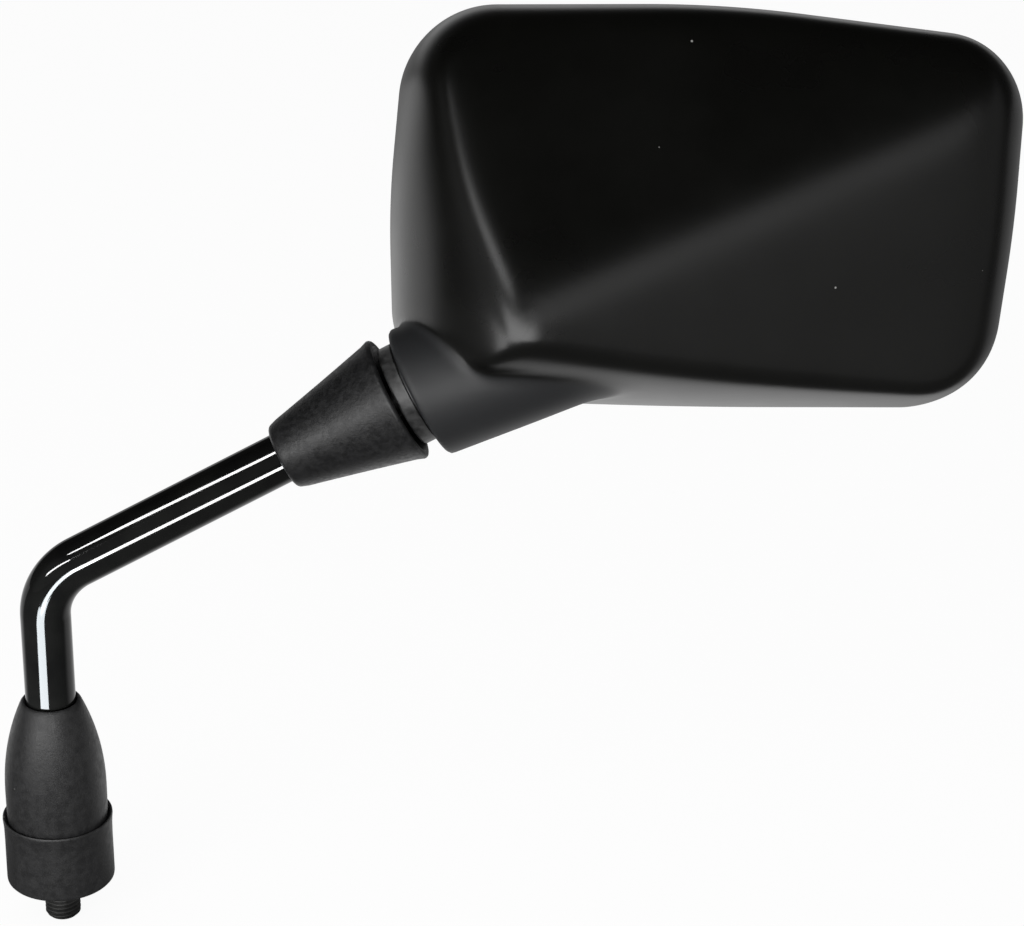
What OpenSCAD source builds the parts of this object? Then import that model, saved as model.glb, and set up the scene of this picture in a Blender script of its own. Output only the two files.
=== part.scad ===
// Left-hand motorcycle mirror: bent stem, friction ball pivot and moulded faceted head.
// The origin is the centre of the lock nut's seat plane, on the axis of the threaded stud.
// +Z runs up the stud, +X points outboard to the head and -Y faces the road ahead.
// All lengths are millimetres and all angles are degrees.

/* [Stem] */
// Diameter of the bent rod
rod_d = 14; // [12:0.5:15]
// Height of the bend's corner above the seat plane
corner_h = 94.75; // [88:0.25:120]
// Rise of the upper leg above horizontal
leg_rise = 27; // [20:0.5:36]
// Bend radius on the rod's centre line
bend_r = 18; // [15:0.5:24]
// Distance along the upper leg from the bend's corner to the ball centre
ball_at = 124; // [118:0.5:150]

/* [Threaded stud] */
// Diameter of the threaded stud
stud_d = 10; // [8:0.5:10]
// Length of thread standing free below the seat plane
stud_free = 12; // [10:0.5:24]
// Width of the lock nut across its flats
nut_af = 17; // [15:0.5:18]
// Height of the lock nut
nut_h = 8; // [6:0.5:9]

/* [Base cover] */
// Outer diameter of the collar around the lock nut
collar_d = 30.9; // [30:0.1:34]
// Height of the collar's lip above the seat plane
collar_h = 21; // [20:0.5:24]
// Greatest diameter of the rubber cover above the collar
cover_d = 28.4; // [27:0.1:31]
// Height of the rubber cover's top above the seat plane
cover_h = 57.5; // [50:0.5:64]

/* [Cone cover] */
// Diameter of the cone cover where it grips the rod
cone_small_d = 18.8; // [18:0.1:21]
// Diameter of the cone cover's open end
cone_big_d = 35.5; // [34:0.1:36.5]
// Length of the cone cover along the rod
cone_len = 35.7; // [32:0.1:42]

/* [Ball pivot] */
// Diameter of the pivot ball
ball_d = 17; // [16:0.5:18]
// Diameter of the neck that carries the ball
ball_neck_d = 9; // [7:0.5:9]
// Thickness of the two floating liners
liner_t = 1.2; // [1:0.1:1.4]
// Outer diameter of the ring that closes the pivot
ring_d = 28.5; // [27.5:0.1:29]
// Width of the ring left in sight
ring_show = 4.7; // [4:0.1:5.5]

/* [Housing] */
// Width of the head across its rim
rim_w = 178; // [168:1:190]
// Height of the head across its rim
rim_h = 115; // [108:1:124]
// Height of the housing's highest point above its rim plane
depth = 56; // [54:0.5:62]
// Thickness of the housing's moulded wall
wall = 2.5; // [2:0.1:3]
// Angle by which the back of the head looks up
lean = 26; // [20:0.5:32]
// Angle by which the head is turned about the upright
toe = 0; // [-4:0.5:4]
// Outer diameter of the housing's neck at its mouth
neck_d = 37.4; // [36:0.2:40]
// Height of the ball centre above the rim plane
ball_z = 22; // [21:0.5:24]

/* [Mirror glass] */
// Radius of the convex glass face
glass_r = 1200; // [900:50:2000]
// Thickness of the glass
glass_t = 2; // [1.8:0.1:2.2]
// Width of the rubber lip that covers the edge of the glass
lip_cover = 1.8; // [1.2:0.1:2.4]

/* [Hidden] */
$fn = 96;

// Stud, nut and washer stack
thread_pitch_drop = 0.82;
stud_pitch_d = stud_d - thread_pitch_drop;
nut_gap = 0.06;
nut_chamfer = 1.2;
washer_gap = 0.3;
spring_washer_h = 2.2;
spring_washer_d = stud_d + 8;
spring_washer_slit = 1.6;
plain_washer_h = 2;
plain_washer_d = stud_d + 11;
spring_washer_z = nut_h;
plain_washer_z = spring_washer_z + spring_washer_h;
collar_web_z = plain_washer_z + plain_washer_h;
collar_web_h = 2.4;
shoulder_z = collar_web_z + collar_web_h;

// Bent rod
bend_turn = 90 - leg_rise;
bend_tangent = bend_r * tan(bend_turn / 2);
bend_lap = 0.3;
bend_thinning = 0.02;
shank_d = 8;
shank_len = 14;
shank_gap = 0.04;
shank_room = 1;

// Collar and rubber cover
collar_foot = 0.6;
collar_edge = 0.8;
collar_socket = 4;
collar_flare = 0.25;
cover_wall = 2.3;
cover_top_lip = 1.2;
cover_steps = 14;
cover_swell_z = 29 / 57.5 * cover_h;
cover_curve = 2.15;
cover_skirt_d = cover_d - 0.4;
socket_gap = 0.1;

// Cone cover, placed so that its open end meets the pivot ring with a small gap
cone_ring_gap = 0.6;
cone_wall = 2.1;
cone_grip = 9;
cone_edge = 0.9;

// Ball pivot, measured along the upper leg from the ball centre
ball_reach = 22;
run_gap = 0.05;
ball_r = ball_d / 2;
neck_r = ball_neck_d / 2;
liner_in_r = ball_r + run_gap;
liner_out_r = liner_in_r + liner_t;
seat_r = liner_out_r + run_gap;
seat_wall = 1.4;
insert_r = seat_r + seat_wall;
bore_r = insert_r + run_gap * 2;
mouth_z = -8.4;
ring_face_z = mouth_z - ring_show;
ring_seat_z = -6.6;
ring_end_z = -0.8;
ring_side_gap = 0.25;
ring_edge = 0.5;
swing_both = 15;
neck_clear = 0.35;
swing_slope = tan(swing_both);
swing_room = neck_r / cos(swing_both) + neck_clear;
throat_z = (swing_room * swing_slope
    - sqrt(pow(swing_room * swing_slope, 2) - (1 + pow(swing_slope, 2)) * (pow(swing_room, 2) - pow(seat_r, 2))))
    / (1 + pow(swing_slope, 2));
throat_r = swing_room - throat_z * swing_slope;
ring_hole_r = swing_room - ring_face_z * swing_slope;
cone_end_at = ball_at + ring_face_z - cone_ring_gap;
cone_start_at = cone_end_at - cone_len;
rod_end_at = ball_at - ball_reach;
front_liner_z = [-sqrt(pow(liner_in_r, 2) - pow(neck_r + neck_clear * 1.5, 2)), -1.3];
rear_liner_z = [1.6, 7.4];
cup_z = 1.2;
cup_floor = 1.8;
cup_end_z = seat_r + cup_floor;
disc_t = 0.9;
disc_rise = 0.4;
disc_hole_r = 4.2;
disc_side_gap = 0.3;
disc_gap = 0.03;
disc_pair_h = (disc_t + disc_rise) * 2 + disc_gap;
thrust_z = cup_end_z + disc_pair_h;
thrust_t = 1.5;
bore_end_z = thrust_z + thrust_t;
core_wall = 2.6;

// Neck of the housing: its end is smaller and set lower, so it dives into the shell's corner
neck_end_z = 44;
neck_end_r = neck_d / 2 - 2.9;
neck_drop = 1.3;
neck_spread = 10.6;
neck_edge = 1.4;

// Rim outline: corners as fractions of half the rim size, with a fillet radius for each
half_w = rim_w / 2;
half_h = rim_h / 2;
rim_corners = [
    [-0.909, 1.003, 0.233 * rim_h],
    [-0.999, -0.868, 0.226 * rim_h],
    [0.842, -1.025, 0.243 * rim_h],
    [1.031, 0.726, 0.209 * rim_h]
];
// Outward bow of the left, lower, right and upper edges
rim_bows = [0.027 * rim_h, 0.0065 * rim_w, 0.0165 * rim_h, 0.0315 * rim_w];
arc_steps = 14;
rim_points = 96;
turn_weight = rim_h / 2;

// Back faces: the apex, the far end of the diagonal ridge and one point on each outer side
ball_pos = [-0.8555 * half_w, -0.7817 * half_h, ball_z];
apex = [-0.64 * half_w, -0.52 * half_h, depth];
ridge_end = [0.935 * half_w, 0.435 * half_h, depth / 2];
upper_side = [-0.81 * half_w, 0.795 * half_h, depth * 0.55];
lower_side = [0.708 * half_w, -0.916 * half_h, depth / 2];

// Side walls rise as a power of the distance from the rim, each side with its own steepness
rise_left = 0.259 * depth;
rise_lower = 0.366 * depth;
rise_right = 0.196 * depth;
rise_upper = 0.232 * depth;
rise_run = rim_h / 115;
rise_power = 0.4;
soft_ridge = 0.043 * depth;
soft_diagonal = 0.032 * depth;
shell_centre = [0, 0];
outer_rings = 18;
inner_rings = 14;
ring_crowding = 1.8;
lap = 1;

// Glass stack, measured up from the rim plane
glass_face_z = -1;
glass_side_gap = 0.3;
lip_t = 0.8;
lip_back = 1.2;
seal_gap = 0.05;
seal_in = wall + 1.7;
glass_in = seal_in;
seal_width_in = seal_in + lip_cover;
pad_t = 1;
pad_in = 15;
carrier_in = 13;
carrier_gap = 0.3;
carrier_back_z = 7.4;
corner_reach = 0.93 * norm([half_w, half_h]);
glass_room_z = glass_face_z + glass_r - sqrt(pow(glass_r, 2) - pow(corner_reach, 2)) + glass_t + lip_back / 2;
dome_reach = norm([half_w, half_h]);
dome_steps = 20;

// Carrier screws
screw_d = 3;
screw_len = 12;
screw_seat = 1.8;
screw_seat_z = carrier_back_z - screw_seat;
pilot_room = 1;
screw_head_d = 6;
screw_head_h = 1.6;
screw_gap = 0.15;
screw_at = [[-0.42, 0.42], [0.56, 0.4], [0.56, -0.5], [-0.28, -0.5]];
boss_d = 8.4;
boss_step = 0.05;
pilot_gap = 0.04;
rib_t = 1.8;
rib_z = 16;

function unit(v) = v / norm(v);

// Arc that rounds the corner b between a and c; each sample carries its outward normal
function corner_arc(a, b, c, r) =
    let (
        u = unit(a - b),
        w = unit(c - b),
        half = acos(u * w) / 2,
        centre = b + unit(u + w) * r / sin(half),
        s = b + u * r / tan(half) - centre,
        sweep = 180 - 2 * half
    )
    [
        for (i = [0:arc_steps])
        let (
            at = atan2(s[1], s[0]) + sweep * i / arc_steps,
            n = [cos(at), sin(at)],
            p = centre + r * n
        )
        [p[0], p[1], n[0], n[1]]
    ];

function rim_corner(i) =
    let (c = rim_corners[i % 4])
    [c[0] * half_w, c[1] * half_h];

function bow_point(i) =
    let (
        a = rim_corner(i),
        b = rim_corner(i + 1),
        d = unit(b - a)
    )
    (a + b) / 2 + [d[1], -d[0]] * rim_bows[i];

function bow_radius(i) = pow(norm(rim_corner(i + 1) - rim_corner(i)), 2) / 16 / rim_bows[i];

rim_raw = [
    for (i = [0:3])
    each concat(
        corner_arc(bow_point((i + 3) % 4), rim_corner(i), bow_point(i), rim_corners[i][2]),
        corner_arc(rim_corner(i), bow_point(i), rim_corner(i + 1), bow_radius(i))
    )
];
raw_count = len(rim_raw);

function raw_at(i) = rim_raw[i % raw_count];

// Step between raw samples: length plus a share for the turn, so that corners get more points
function raw_step(i) =
    let (
        a = raw_at(i),
        b = raw_at(i + 1),
        turn = norm([b[2] - a[2], b[3] - a[3]])
    )
    norm([b[0] - a[0], b[1] - a[1]]) + turn_weight * turn;

raw_run = [for (i = 0, s = 0; i <= raw_count; s = s + raw_step(i), i = i + 1) s];
rim_total = raw_run[raw_count];

function raw_table(k) = [for (i = [0:raw_count]) [raw_run[i], raw_at(i)[k]]];

rim_tables = [for (k = [0:3]) raw_table(k)];

// Evenly weighted points around the rim, each with its outward normal
rim = [
    for (i = [0:rim_points - 1])
    let (
        s = rim_total * i / rim_points,
        n = unit([lookup(s, rim_tables[2]), lookup(s, rim_tables[3])])
    )
    [lookup(s, rim_tables[0]), lookup(s, rim_tables[1]), n[0], n[1]]
];

function rim_inset(inset) = [for (p = rim) [p[0] - inset * p[2], p[1] - inset * p[3]]];

// Rim point in the first rounded corner, where the flat base's loop starts
base_start = 4;

// Height at p of the plane through three points
function plane_z(p, a, b, c) =
    let (n = cross(b - a, c - a))
    a[2] - (n[0] * (p[0] - a[0]) + n[1] * (p[1] - a[1])) / n[2];

function soft_min(a, b, k) =
    let (m = min(a, b))
    m - k * ln(exp((m - a) / k) + exp((m - b) / k));

function back_z(p) =
    soft_min(plane_z(p, apex, ridge_end, upper_side), plane_z(p, apex, lower_side, ridge_end), soft_diagonal);

// Steepness of the side wall at a rim point, blended by where its normal points
function wall_rise(p) =
    (p[2] < 0 ? rise_left : rise_right) * p[2] * p[2] + (p[3] < 0 ? rise_lower : rise_upper) * p[3] * p[3];

rim_rise = [for (p = rim) wall_rise(p)];

// Height of the side walls at a point: the lowest of the walls that start from each rim point
function wall_z(at, inset) =
    min([
        for (i = [0:rim_points - 1])
        let (d = (rim[i][0] - at[0]) * rim[i][2] + (rim[i][1] - at[1]) * rim[i][3] - inset)
        rim_rise[i] * pow(max(d, 0) / rise_run, rise_power)
    ]);

function shell_point(start, inset, drop, t) =
    let (at = start + (shell_centre - start) * t)
    [at[0], at[1], soft_min(wall_z(at, inset), back_z(at) - drop, soft_ridge)];

// Two triangles for a four-sided patch, split along its higher diagonal to keep it convex
function split_quad(p, a, b, c, d) =
    p[a][2] + p[c][2] >= p[b][2] + p[d][2] ? [[a, b, c], [a, c, d]] : [[a, b, d], [b, c, d]];

// Closed solid under the housing's back surface, shrunk sideways by inset and down by drop
module shell_solid(inset, drop, rings, foot_z) {
    edge = rim_inset(inset);
    n = rim_points;
    foot = [for (o = edge) [o[0], o[1], foot_z]];
    skin = [
        for (j = [1:rings - 1])
        for (i = [0:n - 1])
        shell_point(edge[i], inset, drop, pow(j / rings, ring_crowding))
    ];
    top = [shell_point(shell_centre, inset, drop, 1)];
    base = [for (o = edge) [o[0], o[1], 0]];
    lower = foot_z < 0 ? concat(foot, base) : foot;
    levels = (foot_z < 0 ? 1 : 0) + rings - 1;
    points = concat(lower, skin, top);
    last = levels * n;
    faces = concat(
        [[for (i = [0:n - 1]) (n - 1 - i + base_start) % n]],
        [
            for (j = [0:levels - 1])
            for (i = [0:n - 1])
            each split_quad(points, j * n + i, j * n + (i + 1) % n, (j + 1) * n + (i + 1) % n, (j + 1) * n + i)
        ],
        [for (i = [0:n - 1]) [last + i, last + (i + 1) % n, last + n]]
    );
    polyhedron(points = points, faces = [for (f = faces) [for (k = [len(f) - 1:-1:0]) f[k]]]);
}

// Upper leg frame: +Z runs along the leg and the origin is the bend's corner
module leg_frame() {
    translate([0, 0, corner_h]) rotate([0, 90 - leg_rise, 0]) children();
}

// Pivot frame: the leg frame moved to the ball centre
module pivot_frame() {
    leg_frame() translate([0, 0, ball_at]) children();
}

// Head frame: the rim plane is z = 0, +X outboard, +Y up and +Z out of the back
module head_frame() {
    translate([ball_at * cos(leg_rise), 0, corner_h + ball_at * sin(leg_rise)])
        rotate([90 - lean, 0, toe])
            translate(-ball_pos)
                children();
}

module tube(r_out, r_in, z0, z1) {
    difference() {
        translate([0, 0, z0]) cylinder(h = z1 - z0, r = r_out);
        translate([0, 0, z0 - lap]) cylinder(h = z1 - z0 + 2 * lap, r = r_in);
    }
}

module stem() {
    color("dimgray")
        difference() {
            union() {
                translate([0, 0, -stud_free]) cylinder(h = stud_free, d = stud_d);
                cylinder(h = nut_h, d = stud_pitch_d);
                translate([0, 0, nut_h]) cylinder(h = shoulder_z - nut_h, d = stud_d);
                translate([0, 0, shoulder_z])
                    cylinder(h = corner_h - bend_tangent + bend_lap - shoulder_z, d = rod_d);
                translate([bend_r, 0, corner_h - bend_tangent])
                    rotate([90, 0, 180])
                        rotate_extrude(angle = bend_turn)
                            translate([bend_r, 0]) circle(d = rod_d - bend_thinning);
                leg_frame()
                    translate([0, 0, bend_tangent - bend_lap])
                        cylinder(h = rod_end_at - bend_tangent + bend_lap, d = rod_d);
            }
            leg_frame()
                translate([0, 0, rod_end_at - shank_len - shank_room])
                    cylinder(h = shank_len + shank_room + lap, d = shank_d + shank_gap);
        }
}

module ball_stud() {
    color("silver")
        pivot_frame() {
            sphere(d = ball_d);
            translate([0, 0, rod_end_at - ball_at])
                cylinder(h = ball_at - rod_end_at, d = ball_neck_d);
            translate([0, 0, rod_end_at - ball_at - shank_len])
                cylinder(h = shank_len, d = shank_d);
        }
}

module lock_nut() {
    color("slategray")
        difference() {
            intersection() {
                cylinder(h = nut_h, d = nut_af / cos(30), $fn = 6);
                translate([0, 0, -nut_chamfer])
                    cylinder(h = nut_h + 2 * nut_chamfer, r1 = nut_af / 2 + nut_h, r2 = nut_af / 2 - nut_chamfer / 2);
                translate([0, 0, -nut_chamfer])
                    cylinder(h = nut_h + 2 * nut_chamfer, r1 = nut_af / 2 - nut_chamfer / 2, r2 = nut_af / 2 + nut_h);
            }
            translate([0, 0, -lap]) cylinder(h = nut_h + 2 * lap, d = stud_pitch_d + nut_gap);
        }
}

module spring_washer() {
    color("lightsteelblue")
        difference() {
            tube(spring_washer_d / 2, stud_d / 2 + washer_gap, spring_washer_z, spring_washer_z + spring_washer_h);
            translate([stud_d / 4, -spring_washer_slit / 2, spring_washer_z - lap])
                cube([spring_washer_d, spring_washer_slit, spring_washer_h + 2 * lap]);
        }
}

module plain_washer() {
    color("gainsboro")
        tube(plain_washer_d / 2, stud_d / 2 + washer_gap, plain_washer_z, plain_washer_z + plain_washer_h);
}

module base_collar() {
    r = collar_d / 2;
    room_r = cover_skirt_d / 2 - cover_wall;
    socket_r = cover_skirt_d / 2 + socket_gap;
    step_z = collar_h - collar_socket;
    color("darkslategray")
        rotate_extrude()
            polygon([
                [room_r, collar_foot],
                [r - collar_edge, collar_foot],
                [r - collar_edge / 3, collar_foot + collar_edge / 3],
                [r - collar_flare, collar_foot + collar_edge],
                [r - collar_flare, step_z - collar_socket],
                [r, collar_h - collar_edge / 2],
                [r - collar_edge / 4, collar_h],
                [socket_r, collar_h],
                [socket_r, step_z],
                [room_r, step_z],
                [room_r, shoulder_z],
                [stud_d / 2 + washer_gap, shoulder_z],
                [stud_d / 2 + washer_gap, collar_web_z],
                [room_r, collar_web_z]
            ]);
}

function cover_r(z) =
    let (
        r0 = rod_d / 2 + cover_top_lip,
        r1 = cover_d / 2,
        up = max(0, (z - cover_swell_z) / (cover_h - cover_swell_z)),
        down = max(0, (cover_swell_z - z) / (cover_swell_z - collar_h + collar_socket))
    )
    r0 + (r1 - r0) * (1 - pow(up, cover_curve)) - (r1 - cover_skirt_d / 2) * down * down;

module base_cover() {
    z0 = collar_h - collar_socket;
    span = cover_h - z0;
    outer = [for (i = [0:cover_steps]) let (z = z0 + span * i / cover_steps) [cover_r(z), z]];
    inner = [
        for (i = [cover_steps:-1:0])
        let (z = z0 + span * i / cover_steps)
        [max(rod_d / 2, cover_r(z) - cover_wall), z]
    ];
    color("dimgray") rotate_extrude() polygon(concat(outer, inner));
}

module cone_cover() {
    r0 = cone_small_d / 2;
    r1 = cone_big_d / 2;
    z0 = cone_start_at;
    z1 = cone_end_at;
    slope = (r1 - r0) / cone_len;
    color("dimgray")
        leg_frame()
            rotate_extrude()
                polygon([
                    [rod_d / 2, z0],
                    [r0 - cone_edge, z0],
                    [r0 - cone_edge / 4, z0 + cone_edge / 4],
                    [r0 + slope * cone_edge, z0 + cone_edge],
                    [r1 - slope * cone_edge, z1 - cone_edge],
                    [r1 - cone_edge / 4, z1 - cone_edge / 4],
                    [r1 - cone_edge, z1],
                    [r1 - cone_wall, z1],
                    [r0 + slope * cone_grip - cone_wall, z0 + cone_grip],
                    [rod_d / 2, z0 + cone_grip]
                ]);
}

module pivot_ring() {
    r = ring_d / 2;
    color("black")
        pivot_frame()
            difference() {
                rotate_extrude()
                    polygon([
                        [0, ring_face_z],
                        [r - ring_edge, ring_face_z],
                        [r, ring_face_z + ring_edge],
                        [r, ring_seat_z],
                        [insert_r, ring_seat_z],
                        [insert_r, ring_end_z],
                        [0, ring_end_z]
                    ]);
                sphere(r = seat_r);
                translate([0, 0, ring_face_z - lap])
                    cylinder(
                        h = throat_z - ring_face_z + lap,
                        r1 = ring_hole_r + lap * swing_slope,
                        r2 = throat_r
                    );
            }
}

module liner(span) {
    difference() {
        intersection() {
            sphere(r = liner_out_r);
            translate([0, 0, span[0]]) cylinder(h = span[1] - span[0], r = liner_out_r + lap);
        }
        sphere(r = liner_in_r);
    }
}

module front_liner() {
    color("ivory") pivot_frame() liner(front_liner_z);
}

module rear_liner() {
    color("ivory") pivot_frame() liner(rear_liner_z);
}

module seat_cup() {
    color("lightgray")
        pivot_frame()
            difference() {
                translate([0, 0, cup_z]) cylinder(h = cup_end_z - cup_z, r = insert_r);
                sphere(r = seat_r);
            }
}

// A pair of dished springs, set rim to rim
module disc_springs() {
    r = bore_r - disc_side_gap;
    z0 = cup_end_z;
    z1 = z0 + disc_pair_h;
    low = z0 + disc_t + disc_rise;
    high = low + disc_gap;
    color("steelblue")
        pivot_frame()
            rotate_extrude() {
                polygon([[disc_hole_r, z0], [r, z0 + disc_rise], [r, low], [disc_hole_r, low - disc_rise]]);
                polygon([[disc_hole_r, high + disc_rise], [r, high], [r, z1 - disc_rise], [disc_hole_r, z1]]);
            }
}

module thrust_disc() {
    color("silver")
        pivot_frame()
            translate([0, 0, thrust_z]) cylinder(h = thrust_t, r = bore_r - disc_side_gap);
}

// Outer form of the neck: from the mouth's rounded edge it narrows and sinks as it runs into
// the shell
module neck_solid() {
    r = neck_d / 2;
    pivot_frame()
        hull() {
            translate([neck_drop, 0, mouth_z]) cylinder(h = neck_edge, r1 = r - neck_edge, r2 = r - neck_edge / 6);
            translate([neck_drop, 0, mouth_z + neck_edge]) cylinder(h = neck_edge, r = r);
            translate([neck_spread, 0, neck_end_z]) cylinder(h = neck_edge, r = neck_end_r);
        }
}

function screw_xy(k) = [screw_at[k][0] * half_w, screw_at[k][1] * half_h];

// Stiffening rib between two screw bosses
module rib_span(a, b) {
    p = screw_xy(a);
    q = screw_xy(b);
    d = q - p;
    translate([p[0], p[1], rib_z])
        rotate([0, 0, atan2(d[1], d[0])])
            translate([0, -rib_t / 2, 0]) cube([norm(d), rib_t, depth]);
}

module glass_prism(inset, z0, z1) {
    translate([0, 0, z0]) linear_extrude(height = z1 - z0) polygon(rim_inset(inset));
}

module housing() {
    color("black")
        difference() {
            union() {
                head_frame() shell_solid(0, 0, outer_rings, 0);
                neck_solid();
            }
            difference() {
                head_frame() shell_solid(wall, wall * 1.06, inner_rings, -lap);
                head_frame() cavity_posts();
                pivot_core();
            }
            pivot_frame() {
                translate([0, 0, mouth_z - lap]) cylinder(h = bore_end_z - mouth_z + lap, r = bore_r);
                translate([0, 0, mouth_z - lap])
                    cylinder(h = ring_seat_z - mouth_z + lap, r = ring_d / 2 + ring_side_gap);
            }
            head_frame() {
                glass_prism(wall, -lap, glass_room_z);
                glass_prism(carrier_in - carrier_gap, -lap, carrier_back_z + boss_step);
                for (k = [0:3])
                    translate([screw_xy(k)[0], screw_xy(k)[1], 0])
                        cylinder(h = screw_seat_z + screw_len + pilot_room, d = screw_d + pilot_gap);
            }
        }
}

// Solid core around the pivot's bore, as wide as the neck where it passes through the shell's corner
module pivot_core() {
    pivot_frame()
        translate([0, 0, mouth_z]) cylinder(h = bore_end_z - mouth_z + core_wall, r = neck_d / 2);
}

// Screw bosses and ribs that are left standing in the cavity
module cavity_posts() {
    for (k = [0:3])
        translate([screw_xy(k)[0], screw_xy(k)[1], carrier_back_z]) cylinder(h = depth, d = boss_d);
    rib_span(0, 1);
    rib_span(3, 2);
    rib_span(0, 3);
    rib_span(1, 2);
}

// Profile of a sphere about the centre of the glass face's curve, from the middle outwards
function dome_arc(r) = [
    for (i = [0:dome_steps])
    let (x = dome_reach * i / dome_steps)
    [x, glass_face_z + glass_r - sqrt(r * r - x * x)]
];

function reversed(v) = [for (i = [len(v) - 1:-1:0]) v[i]];

// Space between two such spheres
module dome(r_out, r_in) {
    rotate_extrude() polygon(concat(dome_arc(r_out), reversed(dome_arc(r_in))));
}

// Space behind one such sphere, up to the height z
module dome_above(r, z) {
    rotate_extrude() polygon(concat(dome_arc(r), [[dome_reach, z], [0, z]]));
}

module mirror_glass() {
    color("lightblue")
        head_frame()
            intersection() {
                glass_prism(glass_in, -lap, depth);
                dome(glass_r, glass_r - glass_t);
            }
}

module adhesive_pad() {
    color("khaki")
        head_frame()
            intersection() {
                glass_prism(pad_in, -lap, depth);
                dome(glass_r - glass_t, glass_r - glass_t - pad_t);
            }
}

module carrier_plate() {
    color("gray")
        head_frame()
            difference() {
                intersection() {
                    glass_prism(carrier_in, -lap, carrier_back_z);
                    dome_above(glass_r - glass_t - pad_t, depth);
                }
                for (k = [0:3])
                    translate([screw_xy(k)[0], screw_xy(k)[1], 0]) {
                        cylinder(h = depth, d = screw_d + 2 * screw_gap);
                        cylinder(h = screw_seat_z, d = screw_head_d + 2 * screw_gap);
                    }
            }
}

module carrier_screws() {
    color("silver")
        head_frame()
            for (k = [0:3])
                translate([screw_xy(k)[0], screw_xy(k)[1], screw_seat_z]) {
                    cylinder(h = screw_len, d = screw_d);
                    translate([0, 0, -screw_head_h]) cylinder(h = screw_head_h, d = screw_head_d);
                }
}

module rim_seal() {
    color("darkslategray")
        head_frame()
            difference() {
                intersection() {
                    difference() {
                        glass_prism(wall + seal_gap, 0, glass_room_z);
                        glass_prism(seal_width_in, -lap, depth);
                    }
                    dome(glass_r + lip_t, glass_r - glass_t - lip_back);
                }
                intersection() {
                    glass_prism(seal_in - seal_gap, -lap, depth);
                    dome(glass_r + seal_gap, glass_r - glass_t - seal_gap);
                }
            }
}

stem();
ball_stud();
lock_nut();
spring_washer();
plain_washer();
base_collar();
base_cover();
cone_cover();
pivot_ring();
front_liner();
rear_liner();
seat_cup();
disc_springs();
thrust_disc();
housing();
carrier_plate();
carrier_screws();
adhesive_pad();
mirror_glass();
rim_seal();
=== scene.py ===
# %% [markdown]
# # Motorcycle mirror, left hand
#
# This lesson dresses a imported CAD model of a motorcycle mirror: a bent black stem with a threaded
# stud, two rubber covers, a friction ball pivot and a moulded head with a convex glass. The CAD
# gives every place and size. Here the visible pieces are modelled again with finer forms, and every
# piece gets its finish.

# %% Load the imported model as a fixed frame
import math

import bmesh
import bpy
import numpy as np
from mathutils import Matrix, Vector


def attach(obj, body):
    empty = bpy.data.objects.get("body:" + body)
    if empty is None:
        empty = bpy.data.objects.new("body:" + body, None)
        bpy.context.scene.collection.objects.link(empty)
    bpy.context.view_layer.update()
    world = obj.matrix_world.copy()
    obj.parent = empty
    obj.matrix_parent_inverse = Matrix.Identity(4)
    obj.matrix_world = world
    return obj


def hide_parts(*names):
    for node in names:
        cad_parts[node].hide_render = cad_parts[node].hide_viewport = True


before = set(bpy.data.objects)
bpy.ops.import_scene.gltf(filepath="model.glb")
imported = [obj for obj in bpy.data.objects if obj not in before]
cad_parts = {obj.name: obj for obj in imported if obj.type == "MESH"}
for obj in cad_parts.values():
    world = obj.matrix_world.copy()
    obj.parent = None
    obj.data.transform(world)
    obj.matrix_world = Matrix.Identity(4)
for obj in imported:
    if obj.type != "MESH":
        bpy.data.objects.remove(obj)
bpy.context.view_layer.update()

MM = 0.001
PHOTO_WIDTH = 1024
print("nodes:", len(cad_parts))

# %% [markdown]
# ## Camera
#
# The photograph looks at the back of the head from a little left of straight ahead and from 25
# degrees above. Four numbers place the camera: two angles, the point it looks at and its distance.
# The focal length follows from the width of the picture.

# %% Camera
VIEW_AZIMUTH = math.radians(-5.45)
VIEW_ELEVATION = math.radians(25.156)
VIEW_TARGET = Vector((128.8, 0.0, 124.1)) * MM
VIEW_DISTANCE = 1.0
FOCAL_PIXELS = 3660
SENSOR_WIDTH = 36.0


def direction(azimuth, elevation):
    """Unit vector that points from the object towards a viewer or a lamp."""
    flat = math.cos(elevation)
    return Vector((math.sin(azimuth) * flat, -math.cos(azimuth) * flat, math.sin(elevation)))


def turn_to(place, target):
    """Turn that makes a camera or lamp at one place look at another."""
    return (target - place).to_track_quat("-Z", "Y").to_euler()


camera_data = bpy.data.cameras.new("photo_camera")
camera_data.sensor_width = SENSOR_WIDTH
camera_data.lens = FOCAL_PIXELS / PHOTO_WIDTH * SENSOR_WIDTH
camera_data.clip_end = 50.0
camera = bpy.data.objects.new("photo_camera", camera_data)
bpy.context.scene.collection.objects.link(camera)
camera.location = VIEW_TARGET + direction(VIEW_AZIMUTH, VIEW_ELEVATION) * VIEW_DISTANCE
camera.rotation_euler = turn_to(camera.location, VIEW_TARGET)
bpy.context.scene.camera = camera
bpy.context.scene.view_settings.view_transform = "Standard"
print("lens in mm:", round(camera_data.lens, 1))

# %% [markdown]
# ## Sizes shared with the CAD
#
# The script cannot read the CAD source, so the sizes that shape the visible pieces are repeated
# here in millimetres. Two frames carry them: the pivot frame runs along the upper leg of the stem
# from the ball centre, and the head frame lies on the rim of the housing with +Z out of its back.

# %% Sizes in millimetres
ROD_R = 7.0
CORNER_H = 94.75
LEG_RISE = math.radians(27.0)
BEND_R = 18.0
BEND_TURN = math.pi / 2 - LEG_RISE
BEND_TANGENT = BEND_R * math.tan(BEND_TURN / 2)
BALL_AT = 124.0
ROD_END_AT = BALL_AT - 22.0
SHOULDER_Z = 14.6
STUD_R = 5.0
STUD_FREE = 12.0
NUT_H = 8.0
STUD_PITCH_R = 4.59
SHANK_HOLE_R = 4.02
SHANK_DEPTH = 15.0

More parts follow.
